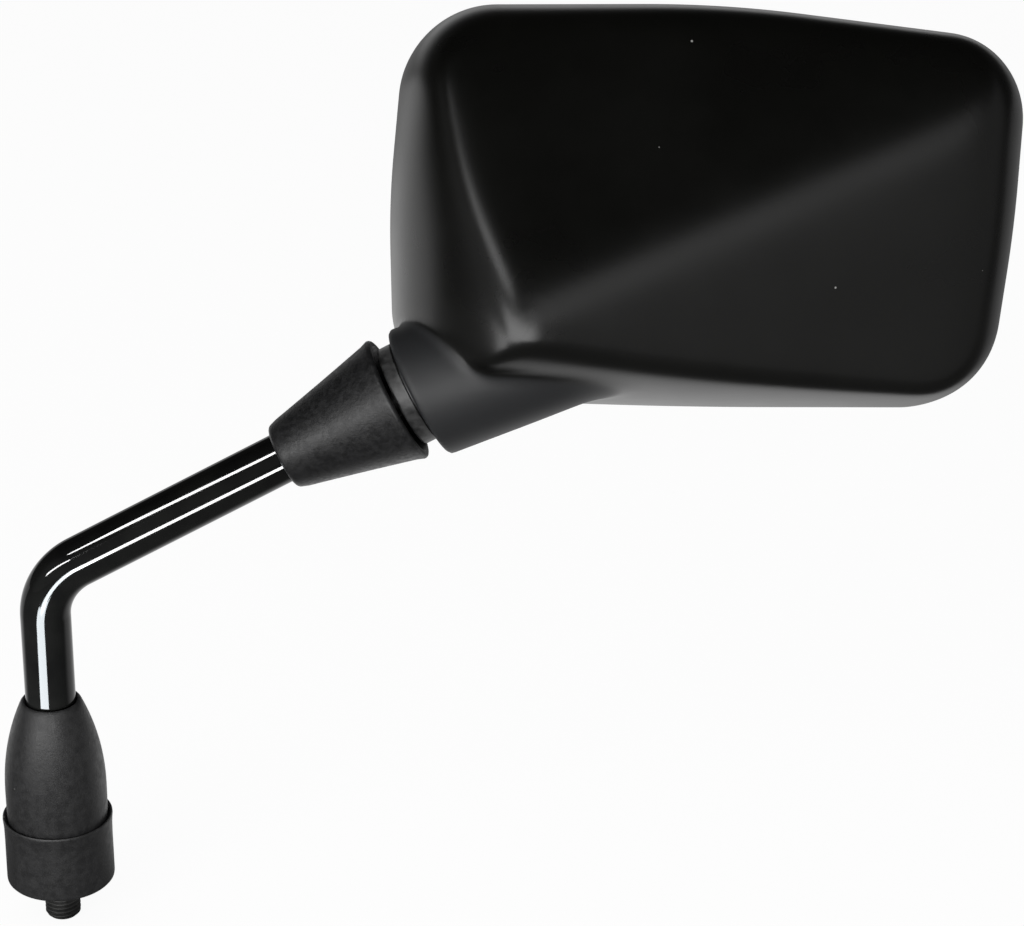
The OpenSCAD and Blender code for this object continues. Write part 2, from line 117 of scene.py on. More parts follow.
MOUTH_Z = -8.4
RING_FACE_Z = -13.1
RING_SEAT_Z = -6.6
RING_END_Z = -0.8
RING_R = 14.25
BORE_R = 11.3
INSERT_R = 11.2
NECK_R = 18.7
NECK_DROP = 1.3
NECK_END_R = 15.8
NECK_END_DROP = 10.6
NECK_END_Z = 45.4

HALF_W = 89.0
HALF_H = 57.5
DEPTH = 56.0
WALL = 2.5
HEAD_LEAN = math.radians(26.0)
BALL_IN_HEAD = Vector((-0.8555 * HALF_W, -0.7817 * HALF_H, 22.0))

LEG_AXIS = Vector((math.cos(LEG_RISE), 0.0, math.sin(LEG_RISE)))
BALL_CENTRE = Vector((0.0, 0.0, CORNER_H)) + LEG_AXIS * BALL_AT
LEG_FRAME = Matrix.Translation((0, 0, CORNER_H)) @ Matrix.Rotation(math.pi / 2 - LEG_RISE, 4, "Y")
PIVOT_FRAME = LEG_FRAME @ Matrix.Translation((0, 0, BALL_AT))
HEAD_FRAME = (
    Matrix.Translation(BALL_CENTRE)
    @ Matrix.Rotation(math.pi / 2 - HEAD_LEAN, 4, "X")
    @ Matrix.Translation(-BALL_IN_HEAD)
)
PIVOT_IN_HEAD = HEAD_FRAME.inverted() @ PIVOT_FRAME
print("ball centre in mm:", [round(c, 2) for c in BALL_CENTRE])

# %% [markdown]
# ## Two ways of making a form
#
# Most pieces here are made of rings. A circle is added, its edge is extruded once for every
# further ring, and each ring is then put at its own size and place, as one would by hand with
# extrude and scale. The ends are filled, or the last ring is bridged to the first, which gives a
# tube with a wall. `set_rings` does the placing for every ring at once.


# %% Helpers for modelling
def deselect_all():
    """Leaves nothing selected, because an operator acts on all that is selected."""
    if bpy.context.object and bpy.context.object.mode != "OBJECT":
        bpy.ops.object.mode_set(mode="OBJECT")
    bpy.ops.object.select_all(action="DESELECT")


def make_active(piece):
    deselect_all()
    piece.select_set(True)
    bpy.context.view_layer.objects.active = piece


def faces_outward(piece):
    """Turns all faces of a closed piece outward."""
    make_active(piece)
    bpy.ops.object.mode_set(mode="EDIT")
    bpy.ops.mesh.select_all(action="SELECT")
    bpy.ops.mesh.normals_make_consistent(inside=False)
    bpy.ops.object.mode_set(mode="OBJECT")


def select_ring(piece, index, around, extend=False):
    """Selects one ring of vertices by its number, in edit mode."""
    mesh = bmesh.from_edit_mesh(piece.data)
    mesh.verts.ensure_lookup_table()
    if not extend:
        for v in mesh.verts:
            v.select = False
    for v in mesh.verts[index * around:(index + 1) * around]:
        v.select = True
    mesh.select_flush(True)
    mesh.select_flush(False)
    bmesh.update_edit_mesh(piece.data)


def extruded_rings(name, rings, closed=False, start="fill", end="fill"):
    """Piece from rings of points in millimetres: a circle, extruded once per further ring."""
    around = len(rings[0])
    deselect_all()
    bpy.ops.mesh.primitive_circle_add(vertices=around, radius=rings[0][0].length * MM + MM)
    piece = bpy.context.object
    piece.name = name
    piece.data.name = name
    bpy.ops.object.mode_set(mode="EDIT")
    bpy.ops.mesh.select_mode(type="VERT")
    bpy.ops.mesh.select_all(action="SELECT")
    for _ in rings[1:]:
        bpy.ops.mesh.extrude_edges_move()
    if closed:
        select_ring(piece, 0, around)
        select_ring(piece, len(rings) - 1, around, extend=True)
        bpy.ops.mesh.bridge_edge_loops()
    else:
        for index, mode in ((0, start), (len(rings) - 1, end)):
            if mode == "fill":
                select_ring(piece, index, around)
                bpy.ops.mesh.edge_face_add()
    bpy.ops.object.mode_set(mode="OBJECT")
    flat = [c * MM for ring in rings for point in ring for c in point]
    piece.data.vertices.foreach_set("co", flat)
    piece.data.update()
    faces_outward(piece)
    return piece


def circle(radius, height, around=96, shift=0.0):
    """Ring of points round the Z axis."""
    step = 2 * math.pi / around
    return [
        Vector((shift + radius * math.cos(step * i), radius * math.sin(step * i), height))
        for i in range(around)
    ]


def turned(name, profile, around=96, closed=False):
    """Turned piece from a profile of (radius, height) points."""
    return extruded_rings(name, [circle(r, z, around) for r, z in profile], closed=closed)


def place(piece, matrix):
    """Moves a piece from its own frame to the object's frame and leaves its place in its mesh."""
    make_active(piece)
    shift = matrix.copy()
    shift.translation = matrix.translation * MM
    piece.matrix_world = shift
    bpy.context.view_layer.update()
    bpy.ops.object.transform_apply(location=True, rotation=True, scale=True)
    return piece


def finish_with(piece, kind, **values):
    """Adds a modifier and applies it."""
    make_active(piece)
    modifier = piece.modifiers.new(kind.lower(), kind)
    for key, value in values.items():
        setattr(modifier, key, value)
    bpy.ops.object.modifier_apply(modifier=modifier.name)
    return piece


def cut(piece, tool, how="DIFFERENCE"):
    """Boolean of a piece with a closed tool, which is then removed."""
    finish_with(piece, "BOOLEAN", object=tool, operation=how, solver="MANIFOLD")
    bpy.data.objects.remove(tool)
    return piece


def smooth_by_angle(piece, degrees=35):
    make_active(piece)
    bpy.ops.object.shade_smooth_by_angle(angle=math.radians(degrees))
    return piece


def report(piece):
    triangles = sum(len(p.vertices) - 2 for p in piece.data.polygons)
    print(piece.name, "triangles:", triangles)


# %% [markdown]
# ## Stem
#
# The stem is one steel rod. It starts on the plain part of the stud, steps out at the shoulder,
# runs up, bends by 63 degrees and ends inside the cone cover, where the shank of the ball is
# pressed in. A circle is extruded up to the bend, spun round the centre of the bend and extruded
# on along the upper leg. Spinning gives the bend its true round form, which the long
# reflections on the gloss paint show at once.

# %% Stem
ROD_EDGE = 0.6
BEND_STEPS = 36
AROUND_ROD = 128

bend_start_z = CORNER_H - BEND_TANGENT
stem_rings = [
    circle(STUD_PITCH_R, 0.0, AROUND_ROD),
    circle(STUD_PITCH_R, NUT_H, AROUND_ROD),
    circle(STUD_R, NUT_H + 0.4, AROUND_ROD),
    circle(STUD_R, SHOULDER_Z, AROUND_ROD),
    circle(ROD_R - ROD_EDGE, SHOULDER_Z, AROUND_ROD),
    circle(ROD_R, SHOULDER_Z + ROD_EDGE, AROUND_ROD),
    circle(ROD_R, bend_start_z, AROUND_ROD),
]
stem_rod = extruded_rings("stem_rod", stem_rings, end="open")
bpy.ops.object.mode_set(mode="EDIT")
select_ring(stem_rod, len(stem_rings) - 1, AROUND_ROD)
bpy.ops.mesh.spin(
    steps=BEND_STEPS,
    angle=-BEND_TURN,
    center=(BEND_R * MM, 0, bend_start_z * MM),
    axis=(0, 1, 0),
)
upper_run = (ROD_END_AT - BEND_TANGENT) * MM
bpy.ops.mesh.extrude_edges_move(TRANSFORM_OT_translate={"value": LEG_AXIS * upper_run})
rod_end = (LEG_FRAME @ Vector((0, 0, ROD_END_AT))) * MM
hole = SHANK_HOLE_R / ROD_R
bpy.ops.mesh.extrude_edges_move()
bpy.ops.transform.resize(value=(hole, hole, hole), center_override=rod_end)
bpy.ops.mesh.extrude_edges_move(TRANSFORM_OT_translate={"value": -LEG_AXIS * SHANK_DEPTH * MM})
bpy.ops.mesh.edge_face_add()
faces_outward(stem_rod)
smooth_by_angle(stem_rod)
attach(stem_rod, "arm")
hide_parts("stem")
report(stem_rod)

# %% [markdown]
# ## Thread of the stud
#
# The thread is cut on the free length of the stud. One tooth profile, a single pitch high, is
# wound up with a Screw modifier. The winding is longer than the stud, so it is cut level at both
# ends, and a chamfered bar trims the first turn as a lathe would.

# %% Thread
THREAD_PITCH = 1.25
THREAD_DEPTH = 0.77
THREAD_CREST = 0.16
THREAD_ROOT = 0.3
THREAD_CHAMFER = 1.0
EXTRA_TURNS = 2
THREAD_PHASE = 0.137
THREAD_STEPS = 72

root_r = STUD_R - THREAD_DEPTH
flank = (THREAD_PITCH - THREAD_CREST - THREAD_ROOT) / 2
tooth = [
    (root_r, 0.0),
    (root_r, THREAD_ROOT / 2),
    (STUD_R, THREAD_ROOT / 2 + flank),
    (STUD_R, THREAD_ROOT / 2 + flank + THREAD_CREST),
    (root_r, THREAD_PITCH - THREAD_ROOT / 2),
    (root_r, THREAD_PITCH),
]
deselect_all()
bpy.ops.mesh.primitive_circle_add(vertices=len(tooth), radius=MM)
stud_thread = bpy.context.object
stud_thread.name = "stud_thread"
stud_thread.data.name = "stud_thread"
bpy.ops.object.mode_set(mode="EDIT")
bpy.ops.mesh.select_mode(type="EDGE")
bpy.ops.mesh.select_all(action="DESELECT")
tooth_mesh = bmesh.from_edit_mesh(stud_thread.data)
tooth_mesh.verts.ensure_lookup_table()
closing = tooth_mesh.edges.get((tooth_mesh.verts[0], tooth_mesh.verts[len(tooth) - 1]))
closing.select = True
bmesh.update_edit_mesh(stud_thread.data)
bpy.ops.mesh.delete(type="EDGE")
bpy.ops.object.mode_set(mode="OBJECT")
thread_start = -STUD_FREE - (EXTRA_TURNS - THREAD_PHASE) * THREAD_PITCH
for vertex, (r, z) in zip(stud_thread.data.vertices, tooth):
    vertex.co = Vector((r, 0.0, thread_start + z)) * MM
finish_with(
    stud_thread,
    "SCREW",
    axis="Z",
    angle=2 * math.pi,
    steps=THREAD_STEPS,
    render_steps=THREAD_STEPS,
    iterations=math.ceil(STUD_FREE / THREAD_PITCH) + 2 * EXTRA_TURNS,
    screw_offset=THREAD_PITCH * MM,
    use_merge_vertices=True,
    merge_threshold=0.00001,
)
bpy.ops.object.mode_set(mode="EDIT")
for level, normal in ((0.0, 1), (-STUD_FREE, -1)):
    bpy.ops.mesh.select_all(action="SELECT")
    bpy.ops.mesh.bisect(
        plane_co=(0, 0, level * MM),
        plane_no=(0, 0, normal),
        use_fill=True,
        clear_outer=True,
        threshold=0.0000005,
    )
bpy.ops.mesh.select_all(action="SELECT")
bpy.ops.mesh.remove_doubles(threshold=0.000001)
faces_outward(stud_thread)
bar = turned("bar", [
    (STUD_R - THREAD_CHAMFER, -STUD_FREE),
    (STUD_R, -STUD_FREE + THREAD_CHAMFER),
    (STUD_R, 1.0),
])
cut(stud_thread, bar, "INTERSECT")
smooth_by_angle(stud_thread, 30)
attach(stud_thread, "arm")
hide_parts("stem")
report(stud_thread)

# %% [markdown]
# ## Collar and bullet cover
#
# A rubber collar hides the lock nut, and a bullet-shaped cover sits in it. The collar's lip flares
# a little, and the two meet in a narrow dark groove. Both are turned from profiles. The cover's
# side is a smooth curve, so its profile is worked out from the same rule as in the CAD, in many
# small steps, and its top edge is rolled in to the rod.

# %% Collar
COLLAR_R = 15.45
COLLAR_H = 21.0
COLLAR_FOOT = 0.6
COVER_R = 14.2
COVER_SKIRT_R = 14.0
COVER_WALL = 2.3
COVER_H = 57.5
COVER_FOOT = 17.0
COVER_SWELL = 29.0
COVER_CURVE = 2.15
COVER_TOP_R = 8.2
COVER_STEPS = 44
WEB_Z = 12.2
WEB_HOLE_R = 5.3

room_r = COVER_SKIRT_R - COVER_WALL
collar_profile = [
    (room_r, COLLAR_FOOT),
    (COLLAR_R - 1.2, COLLAR_FOOT),
    (COLLAR_R - 0.65, COLLAR_FOOT + 0.15),
    (COLLAR_R - 0.32, COLLAR_FOOT + 0.55),
    (COLLAR_R - 0.25, COLLAR_FOOT + 1.1),
    (COLLAR_R - 0.27, 8.0),
    (COLLAR_R - 0.3, 14.0),
    (COLLAR_R - 0.25, 17.4),
    (COLLAR_R - 0.12, 19.2),
    (COLLAR_R, 20.3),
    (COLLAR_R - 0.03, 20.75),
    (COLLAR_R - 0.2, COLLAR_H),
    (COLLAR_R - 0.45, COLLAR_H - 0.05),
    (COVER_SKIRT_R + 0.55, COLLAR_H - 0.5),
    (COVER_SKIRT_R + 0.25, COLLAR_H - 1.5),
    (COVER_SKIRT_R + 0.12, COLLAR_H - 2.4),
    (COVER_SKIRT_R + 0.1, COVER_FOOT),
    (room_r, COVER_FOOT),
    (room_r, SHOULDER_Z),
    (WEB_HOLE_R, SHOULDER_Z),
    (WEB_HOLE_R, WEB_Z),
    (room_r, WEB_Z),
]
base_collar = turned("collar", collar_profile, closed=True)
smooth_by_angle(base_collar, 40)
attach(base_collar, "arm")
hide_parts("base_collar")
report(base_collar)


# %% Bullet cover
def cover_radius(height):
    """Outer radius of the bullet cover at a height."""
    up = max(0.0, (height - COVER_SWELL) / (COVER_H - COVER_SWELL))
    down = max(0.0, (COVER_SWELL - height) / (COVER_SWELL - COVER_FOOT))
    side = COVER_TOP_R + (COVER_R - COVER_TOP_R) * (1 - up ** COVER_CURVE)
    return side - (COVER_R - COVER_SKIRT_R) * down * down


LIP_ROUND = 0.8
cover_heights = np.linspace(COVER_FOOT, COVER_H - LIP_ROUND, COVER_STEPS)
outside = [(cover_radius(h), h) for h in cover_heights]
lip = [
    (COVER_TOP_R + 0.02, COVER_H - 0.35),
    (COVER_TOP_R - 0.2, COVER_H - 0.08),
    (COVER_TOP_R - 0.5, COVER_H),
    (COVER_TOP_R - 0.75, COVER_H - 0.12),
    (ROD_R + 0.22, COVER_H - 0.5),
    (ROD_R + 0.08, COVER_H - 1.2),
]
inside = [
    (max(ROD_R, cover_radius(h) - COVER_WALL), h)
    for h in np.linspace(COVER_H - 2.2, COVER_FOOT, COVER_STEPS // 2)
]
base_cover = turned("bullet_cover", outside + lip + inside, closed=True)
smooth_by_angle(base_cover, 40)
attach(base_cover, "arm")
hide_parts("base_cover")
report(base_cover)

# %% [markdown]
# ## Cone cover
#
# The second cover is a rubber cone that grips the rod with its small end and opens towards the
# pivot, so that the ball's neck can swing inside it. Both of its edges are well rounded, and its
# side is very slightly hollow near the small end, as on a moulded part.

# %% Cone cover
CONE_GAP = 0.6
CONE_LENGTH = 35.7
CONE_END = BALL_AT + RING_FACE_Z - CONE_GAP
CONE_START = CONE_END - CONE_LENGTH
CONE_SMALL_R = 9.4
CONE_BIG_R = 17.75
CONE_WALL = 2.1
CONE_GRIP = 9.0
CONE_ROUND = 1.6
CONE_HOLLOW = 0.12
SIDE_FROM_EDGE = 3.0
SIDE_STEPS = 9
ROUND_STEPS = 6


def rounded(centre, radius, start, stop, steps=ROUND_STEPS):
    """Points of a rounded edge in a profile, by centre, radius and two angles in degrees."""
    angles = np.radians(np.linspace(start, stop, steps))
    return [(centre[0] + radius * math.cos(a), centre[1] + radius * math.sin(a)) for a in angles]


cone_slope = (CONE_BIG_R - CONE_SMALL_R) / CONE_LENGTH
cone_lean = math.degrees(math.atan(cone_slope))
foot_centre = (CONE_SMALL_R - CONE_ROUND + CONE_HOLLOW, CONE_START + CONE_ROUND)
foot_round = rounded(foot_centre, CONE_ROUND, -90, -cone_lean)
head_round = rounded((CONE_BIG_R - 1.05, CONE_END - 1.0), 1.0, -cone_lean, 90)
cone_inner = [
    (CONE_BIG_R - CONE_WALL + 0.15, CONE_END - 0.1),
    (CONE_BIG_R - CONE_WALL - 0.1, CONE_END - 0.5),
    (CONE_SMALL_R + cone_slope * CONE_GRIP - CONE_WALL, CONE_START + CONE_GRIP),
    (ROD_R, CONE_START + CONE_GRIP),
    (ROD_R, CONE_START + 0.5),
    (ROD_R + 0.4, CONE_START),
]


def cone_radius(along):
    """Outer radius of the cone cover, a little hollow between its ends."""
    hollow_by = CONE_HOLLOW * math.sin(math.pi * along / CONE_LENGTH)
    return CONE_SMALL_R + cone_slope * along - hollow_by


side_at = np.linspace(SIDE_FROM_EDGE, CONE_LENGTH - SIDE_FROM_EDGE, SIDE_STEPS)
cone_side = [(cone_radius(along), CONE_START + along) for along in side_at]
cone_profile = foot_round + cone_side + head_round + cone_inner
cone_cover = turned("cone_cover_rubber", cone_profile, closed=True)
smooth_by_angle(cone_cover, 40)
place(cone_cover, LEG_FRAME)
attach(cone_cover, "arm")
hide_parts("cone_cover")
report(cone_cover)

# %% [markdown]
# ## Ring of the pivot
#
# A dark ring closes the pivot and is seen between the cone cover and the neck. Its hole is a cone
# that lets the ball's neck swing, and behind that lies the spherical seat of the front liner. Its
# outer edge is softly rounded and carries a shallow groove next to the housing.

# %% Pivot ring
SEAT_R = 9.8
RING_EDGE = 0.7
SWING = math.radians(15.0)
BALL_NECK_R = 4.5
SWING_ROOM = 0.35
neck_room = BALL_NECK_R / math.cos(SWING) + SWING_ROOM
throat_z = (
    neck_room * math.tan(SWING)
    - math.sqrt(
        (neck_room * math.tan(SWING)) ** 2
        - (1 + math.tan(SWING) ** 2) * (neck_room ** 2 - SEAT_R ** 2)
    )
) / (1 + math.tan(SWING) ** 2)
ring_hole_r = neck_room - RING_FACE_Z * math.tan(SWING)
seat_arc = [
    (math.sqrt(SEAT_R ** 2 - z * z), z) for z in np.linspace(throat_z, RING_END_Z, 14)
]
ring_profile = (
    [(ring_hole_r + 0.3, RING_FACE_Z)]
    + rounded((RING_R - RING_EDGE, RING_FACE_Z + RING_EDGE), RING_EDGE, -90, 0)
    + [
        (RING_R, MOUTH_Z - 0.9),
        (RING_R - 0.35, MOUTH_Z - 0.6),
        (RING_R - 0.35, MOUTH_Z + 0.2),
        (RING_R, MOUTH_Z + 0.5),
        (RING_R, RING_SEAT_Z),
        (INSERT_R, RING_SEAT_Z),
        (INSERT_R, RING_END_Z),
    ]
    + seat_arc[::-1]
    + [(ring_hole_r - 0.05, RING_FACE_Z + 0.3)]
)
pivot_ring = turned("pivot_ring_black", ring_profile, closed=True)
smooth_by_angle(pivot_ring, 35)
place(pivot_ring, PIVOT_FRAME)
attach(pivot_ring, "head")
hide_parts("pivot_ring")
report(pivot_ring)

# %% [markdown]
# ## Outline and back of the housing
#
# The rim is a rounded trapezoid: four corners with fillets and four slightly bowed sides. The back
# is the lower of three surfaces that melt into each other: an upper and a lower facet, which meet
# in a soft diagonal ridge, and side walls that rise steeply from the rim. The rim is worked out
# with many more points than in the CAD, so that the satin surface shows no facets.

# %% Rim outline
RIM_CORNERS = [
    (-0.909 * HALF_W, 1.003 * HALF_H, 26.8),
    (-0.999 * HALF_W, -0.868 * HALF_H, 26.0),
    (0.842 * HALF_W, -1.025 * HALF_H, 27.9),
    (1.031 * HALF_W, 0.726 * HALF_H, 24.0),
]
RIM_BOWS = [3.1, 1.16, 1.9, 5.6]
ARC_SAMPLES = 60
TURN_WEIGHT = HALF_H


def corner_arc(before, corner, after, radius):
    """Samples of the arc that rounds a corner, each with its outward normal."""
    u = (before - corner) / np.linalg.norm(before - corner)
    w = (after - corner) / np.linalg.norm(after - corner)
    half = math.acos(float(np.clip(u @ w, -1, 1))) / 2
    middle = (u + w) / np.linalg.norm(u + w)
    centre = corner + middle * radius / math.sin(half)
    start = corner + u * radius / math.tan(half) - centre
    angles = math.atan2(start[1], start[0]) + np.linspace(0, math.pi - 2 * half, ARC_SAMPLES)
    normals = np.stack([np.cos(angles), np.sin(angles)], axis=1)
    return np.hstack([centre + radius * normals, normals])


def rim_outline(count):
    """Points round the rim, closer together in the corners, each with its outward normal."""
    corners = [np.array(c[:2]) for c in RIM_CORNERS]
    samples = []
    bows = []
    for i in range(4):
        a, b = corners[i], corners[(i + 1) % 4]
        d = (b - a) / np.linalg.norm(b - a)
        bows.append((a + b) / 2 + np.array([d[1], -d[0]]) * RIM_BOWS[i])
    for i in range(4):
        a, b = corners[i], corners[(i + 1) % 4]
        samples.append(corner_arc(bows[i - 1], a, bows[i], RIM_CORNERS[i][2]))
        samples.append(corner_arc(a, bows[i], b, np.linalg.norm(b - a) ** 2 / 16 / RIM_BOWS[i]))
    raw = np.vstack(samples)
    raw = np.vstack([raw, raw[:1]])
    steps = np.linalg.norm(np.diff(raw[:, :2], axis=0), axis=1)
    steps += TURN_WEIGHT * np.linalg.norm(np.diff(raw[:, 2:], axis=0), axis=1)
    run = np.concatenate([[0], np.cumsum(steps)])
    at = run[-1] * np.arange(count) / count
    rim = np.stack([np.interp(at, run, raw[:, k]) for k in range(4)], axis=1)
    rim[:, 2:] /= np.linalg.norm(rim[:, 2:], axis=1)[:, None]
    return rim


# %% Back surface
APEX = (-0.64 * HALF_W, -0.52 * HALF_H, DEPTH)
RIDGE_END = (0.935 * HALF_W, 0.435 * HALF_H, 28.0)
UPPER_SIDE = (-0.81 * HALF_W, 0.795 * HALF_H, 30.8)
LOWER_SIDE = (0.708 * HALF_W, -0.916 * HALF_H, 28.0)
RISES = {"left": 14.5, "lower": 20.5, "right": 10.98, "upper": 12.99}
RISE_POWER = 0.4
SOFT_RIDGE = 2.4
SOFT_DIAGONAL = 1.8
RING_CROWDING = 1.8


def soft_min(a, b, softness):
    low = np.minimum(a, b)
    return low - softness * np.log(np.exp((low - a) / softness) + np.exp((low - b) / softness))


def plane_height(at, a, b, c):
    a, b, c = (np.array(p, dtype=float) for p in (a, b, c))
    n = np.cross(b - a, c - a)
    return a[2] - (n[0] * (at[:, 0] - a[0]) + n[1] * (at[:, 1] - a[1])) / n[2]


def back_height(at, rim, inset, drop):
    """Height of the housing's back over points of the rim plane."""
    facets = soft_min(
        plane_height(at, APEX, RIDGE_END, UPPER_SIDE),
        plane_height(at, APEX, LOWER_SIDE, RIDGE_END),
        SOFT_DIAGONAL,
    )
    nx, ny = rim[:, 2], rim[:, 3]
    rise = np.where(nx < 0, RISES["left"], RISES["right"]) * nx ** 2
    rise += np.where(ny < 0, RISES["lower"], RISES["upper"]) * ny ** 2
    depth_in = (rim[:, 0] - at[:, :1]) * nx + (rim[:, 1] - at[:, 1:2]) * ny - inset
    walls = (rise * np.maximum(depth_in, 0) ** RISE_POWER).min(axis=1)
    return soft_min(walls, facets - drop, SOFT_RIDGE)


def shell_form(name, around, rings, inset, drop, foot):
    """Closed form under the housing's back, from a foot below the rim plane to its middle."""
    rim = rim_outline(around)
    edge = rim[:, :2] - inset * rim[:, 2:]
    loops = [[Vector((x, y, foot)) for x, y in edge], [Vector((x, y, 0.0)) for x, y in edge]]
    for j in range(1, rings):
        at = edge * (1 - (j / rings) ** RING_CROWDING)
        heights = back_height(at, rim, inset, drop)
        loops.append([Vector((x, y, z)) for (x, y), z in zip(at, heights)])
    return extruded_rings(name, loops)


rim_steps = np.diff(rim_outline(400)[:, :2], axis=0)
print("rim length in mm:", round(float(np.linalg.norm(rim_steps, axis=1).sum())))

# %% [markdown]
# ## Housing
#
# The real housing is one injection moulding: the thin shell, the neck that holds the ball pivot,
# and screw bosses and ribs inside. Its neck runs into the shell through a soft valley, which a
# plain Boolean union would leave as a sharp line. So the two closed forms are joined and
# remeshed with voxels, and each new vertex is then moved onto a surface that blends the distances
# to the two forms. That keeps the forms exact and rounds only the valley. The hollow, the bore and
# the pockets are cut afterwards, so their edges stay crisp.

# %% Outer form of the housing
from mathutils.bvhtree import BVHTree

VOXEL = 0.00075
VALLEY = 2.6 * MM
RIM_ROUND = 1.6 * MM
FORM_FOOT = -5.0
NECK_RINGS = 24
AROUND_NECK = 160
LIP_H = 1.6
AROUND_SHELL = 360
SHELL_RINGS = 64
BLEND_PASSES = 3
TOUCHING = 1e-7
SETTLED = 2e-6

housing = shell_form("housing_shell", AROUND_SHELL, SHELL_RINGS, 0.0, 0.0, FORM_FOOT)
NECK_LIP = [(1.3, 0.0), (0.75, 0.16), (0.32, 0.5), (0.07, 1.0), (0.0, LIP_H)]
neck_rings = [
    circle(NECK_R - inward, MOUTH_Z + up, AROUND_NECK, NECK_DROP) for inward, up in NECK_LIP
]
for part in np.linspace(0.05, 1.0, NECK_RINGS):
    neck_rings.append(circle(
        NECK_R + (NECK_END_R - NECK_R) * part,
        MOUTH_Z + LIP_H + (NECK_END_Z - MOUTH_Z - LIP_H) * part,
        AROUND_NECK,
        NECK_DROP + (NECK_END_DROP - NECK_DROP) * part,
    ))
neck_form = extruded_rings("neck_form", neck_rings)
place(neck_form, PIVOT_IN_HEAD)


def distance_tree(piece):
    mesh = piece.data
    return BVHTree.FromPolygons([v.co for v in mesh.vertices], [p.vertices for p in mesh.polygons])


def distance(tree, point):
    """Signed distance to a closed form, and the direction in which it grows."""
    nearest, normal, _, gap = tree.find_nearest(point)
    if gap < TOUCHING:
        return 0.0, normal
    away = (point - nearest) / gap
    inside = away.dot(normal) < -0.5
    return (-gap, -away) if inside else (gap, away)


shell_tree = distance_tree(housing)
neck_tree = distance_tree(neck_form)
deselect_all()
neck_form.select_set(True)
housing.select_set(True)
bpy.context.view_layer.objects.active = housing
bpy.ops.object.join()
finish_with(housing, "REMESH", mode="VOXEL", voxel_size=VOXEL, adaptivity=0.0)
bpy.ops.object.mode_set(mode="EDIT")
bpy.ops.mesh.select_all(action="SELECT")
bpy.ops.mesh.bisect(plane_co=(0, 0, 0), plane_no=(0, 0, -1), use_fill=True, clear_outer=True)
bpy.ops.object.mode_set(mode="OBJECT")


# %% Soft valley
def blend(a, b, width):
    """Smooth minimum of two distances, and how much the first counts in its direction."""
    share = min(max(0.5 + 0.5 * (b - a) / width, 0.0), 1.0)
    return b + (a - b) * share - width * share * (1 - share), share


for vertex in housing.data.vertices:
    point = vertex.co.copy()
    for _ in range(BLEND_PASSES):
        to_shell, shell_way = distance(shell_tree, point)
        to_neck, neck_way = distance(neck_tree, point)
        outside, share = blend(to_shell, to_neck, VALLEY)
        way = shell_way * share + neck_way * (1 - share)
        if point.z < 3 * RIM_ROUND:
            low, kept = blend(-outside, point.z, RIM_ROUND)
            outside = -low
            way = way * kept + Vector((0, 0, -1)) * (1 - kept)
        step = way * (outside / max(way.length_squared, 0.25))
        point -= step
        if step.length < SETTLED:
            break
    vertex.co = point


# %% [markdown]
# ## Softer ridges
#
# On the real shell the ridges are sharper near the rim and melt away towards the highest point.
# One smoothing strength for all would blur the rim as well. So every vertex gets a weight that
# grows with its height and with its distance from the neck's mouth, and a Smooth modifier follows
# these weights. The weights run evenly, because a step in them would show as a line in the satin
# reflections. The vertices of the rim keep still.

# %% Softer ridges
SOFT_PASSES = 150
SOFT_HEIGHT = (8.0, 44.0)
SOFT_REACH = (29.0, 46.0)
SOFT_LEAST = 0.02
SOFT_FROM_Z = 2.0
WEIGHT_LEVELS = 60


def step_up(value, low, high):
    share = np.clip((value - low) / (high - low), 0, 1)
    return share * share * (3 - 2 * share)


points = np.empty(len(housing.data.vertices) * 3)
housing.data.vertices.foreach_get("co", points)
points = points.reshape(-1, 3) / MM
off_mouth = np.linalg.norm(points - np.array(PIVOT_IN_HEAD @ Vector((0, 0, MOUTH_Z))), axis=1)
weight = step_up(points[:, 2], *SOFT_HEIGHT) * step_up(off_mouth, *SOFT_REACH)
weight = np.where(points[:, 2] > SOFT_FROM_Z, np.maximum(weight, SOFT_LEAST), 0.0)
levels = np.round(weight * WEIGHT_LEVELS)
softening = housing.vertex_groups.new(name="softening")
for level in range(1, WEIGHT_LEVELS + 1):
    chosen = np.flatnonzero(levels == level).tolist()
    softening.add(chosen, level / WEIGHT_LEVELS, "REPLACE")
finish_with(housing, "SMOOTH", factor=0.5, iterations=SOFT_PASSES, vertex_group="softening")
housing.vertex_groups.clear()
faces_outward(housing)
report(housing)

# %% Hollow, bore and pockets
CORE_END_Z = 18.33
BORE_END_Z = 15.73
CARRIER_BACK_Z = 7.4
GLASS_ROOM_Z = 5.66
CARRIER_IN = 13.0
SCREWS = [
    (-0.42 * HALF_W, 0.42 * HALF_H),
    (0.56 * HALF_W, 0.4 * HALF_H),
    (0.56 * HALF_W, -0.5 * HALF_H),
    (-0.28 * HALF_W, -0.5 * HALF_H),
]
BOSS_R = 4.2
RIB_T = 1.8
RIB_Z = 16.0
TOOL_H = 50.0
RING_ROOM = 0.25
AROUND_BORE = 192
HOLLOW_RINGS = 30
WALL_SLANT = 1.06
PILOT_R = 1.52
PILOT_END_Z = 18.6


def bar_between(name, radius, low, high, matrix, around=96):
    return place(turned(name, [(radius, low), (radius, high)], around), matrix)


def prism(name, inset, low, high, around=192):
    rim = rim_outline(around)
    edge = rim[:, :2] - inset * rim[:, 2:]
    return extruded_rings(name, [[Vector((x, y, z)) for x, y in edge] for z in (low, high)])


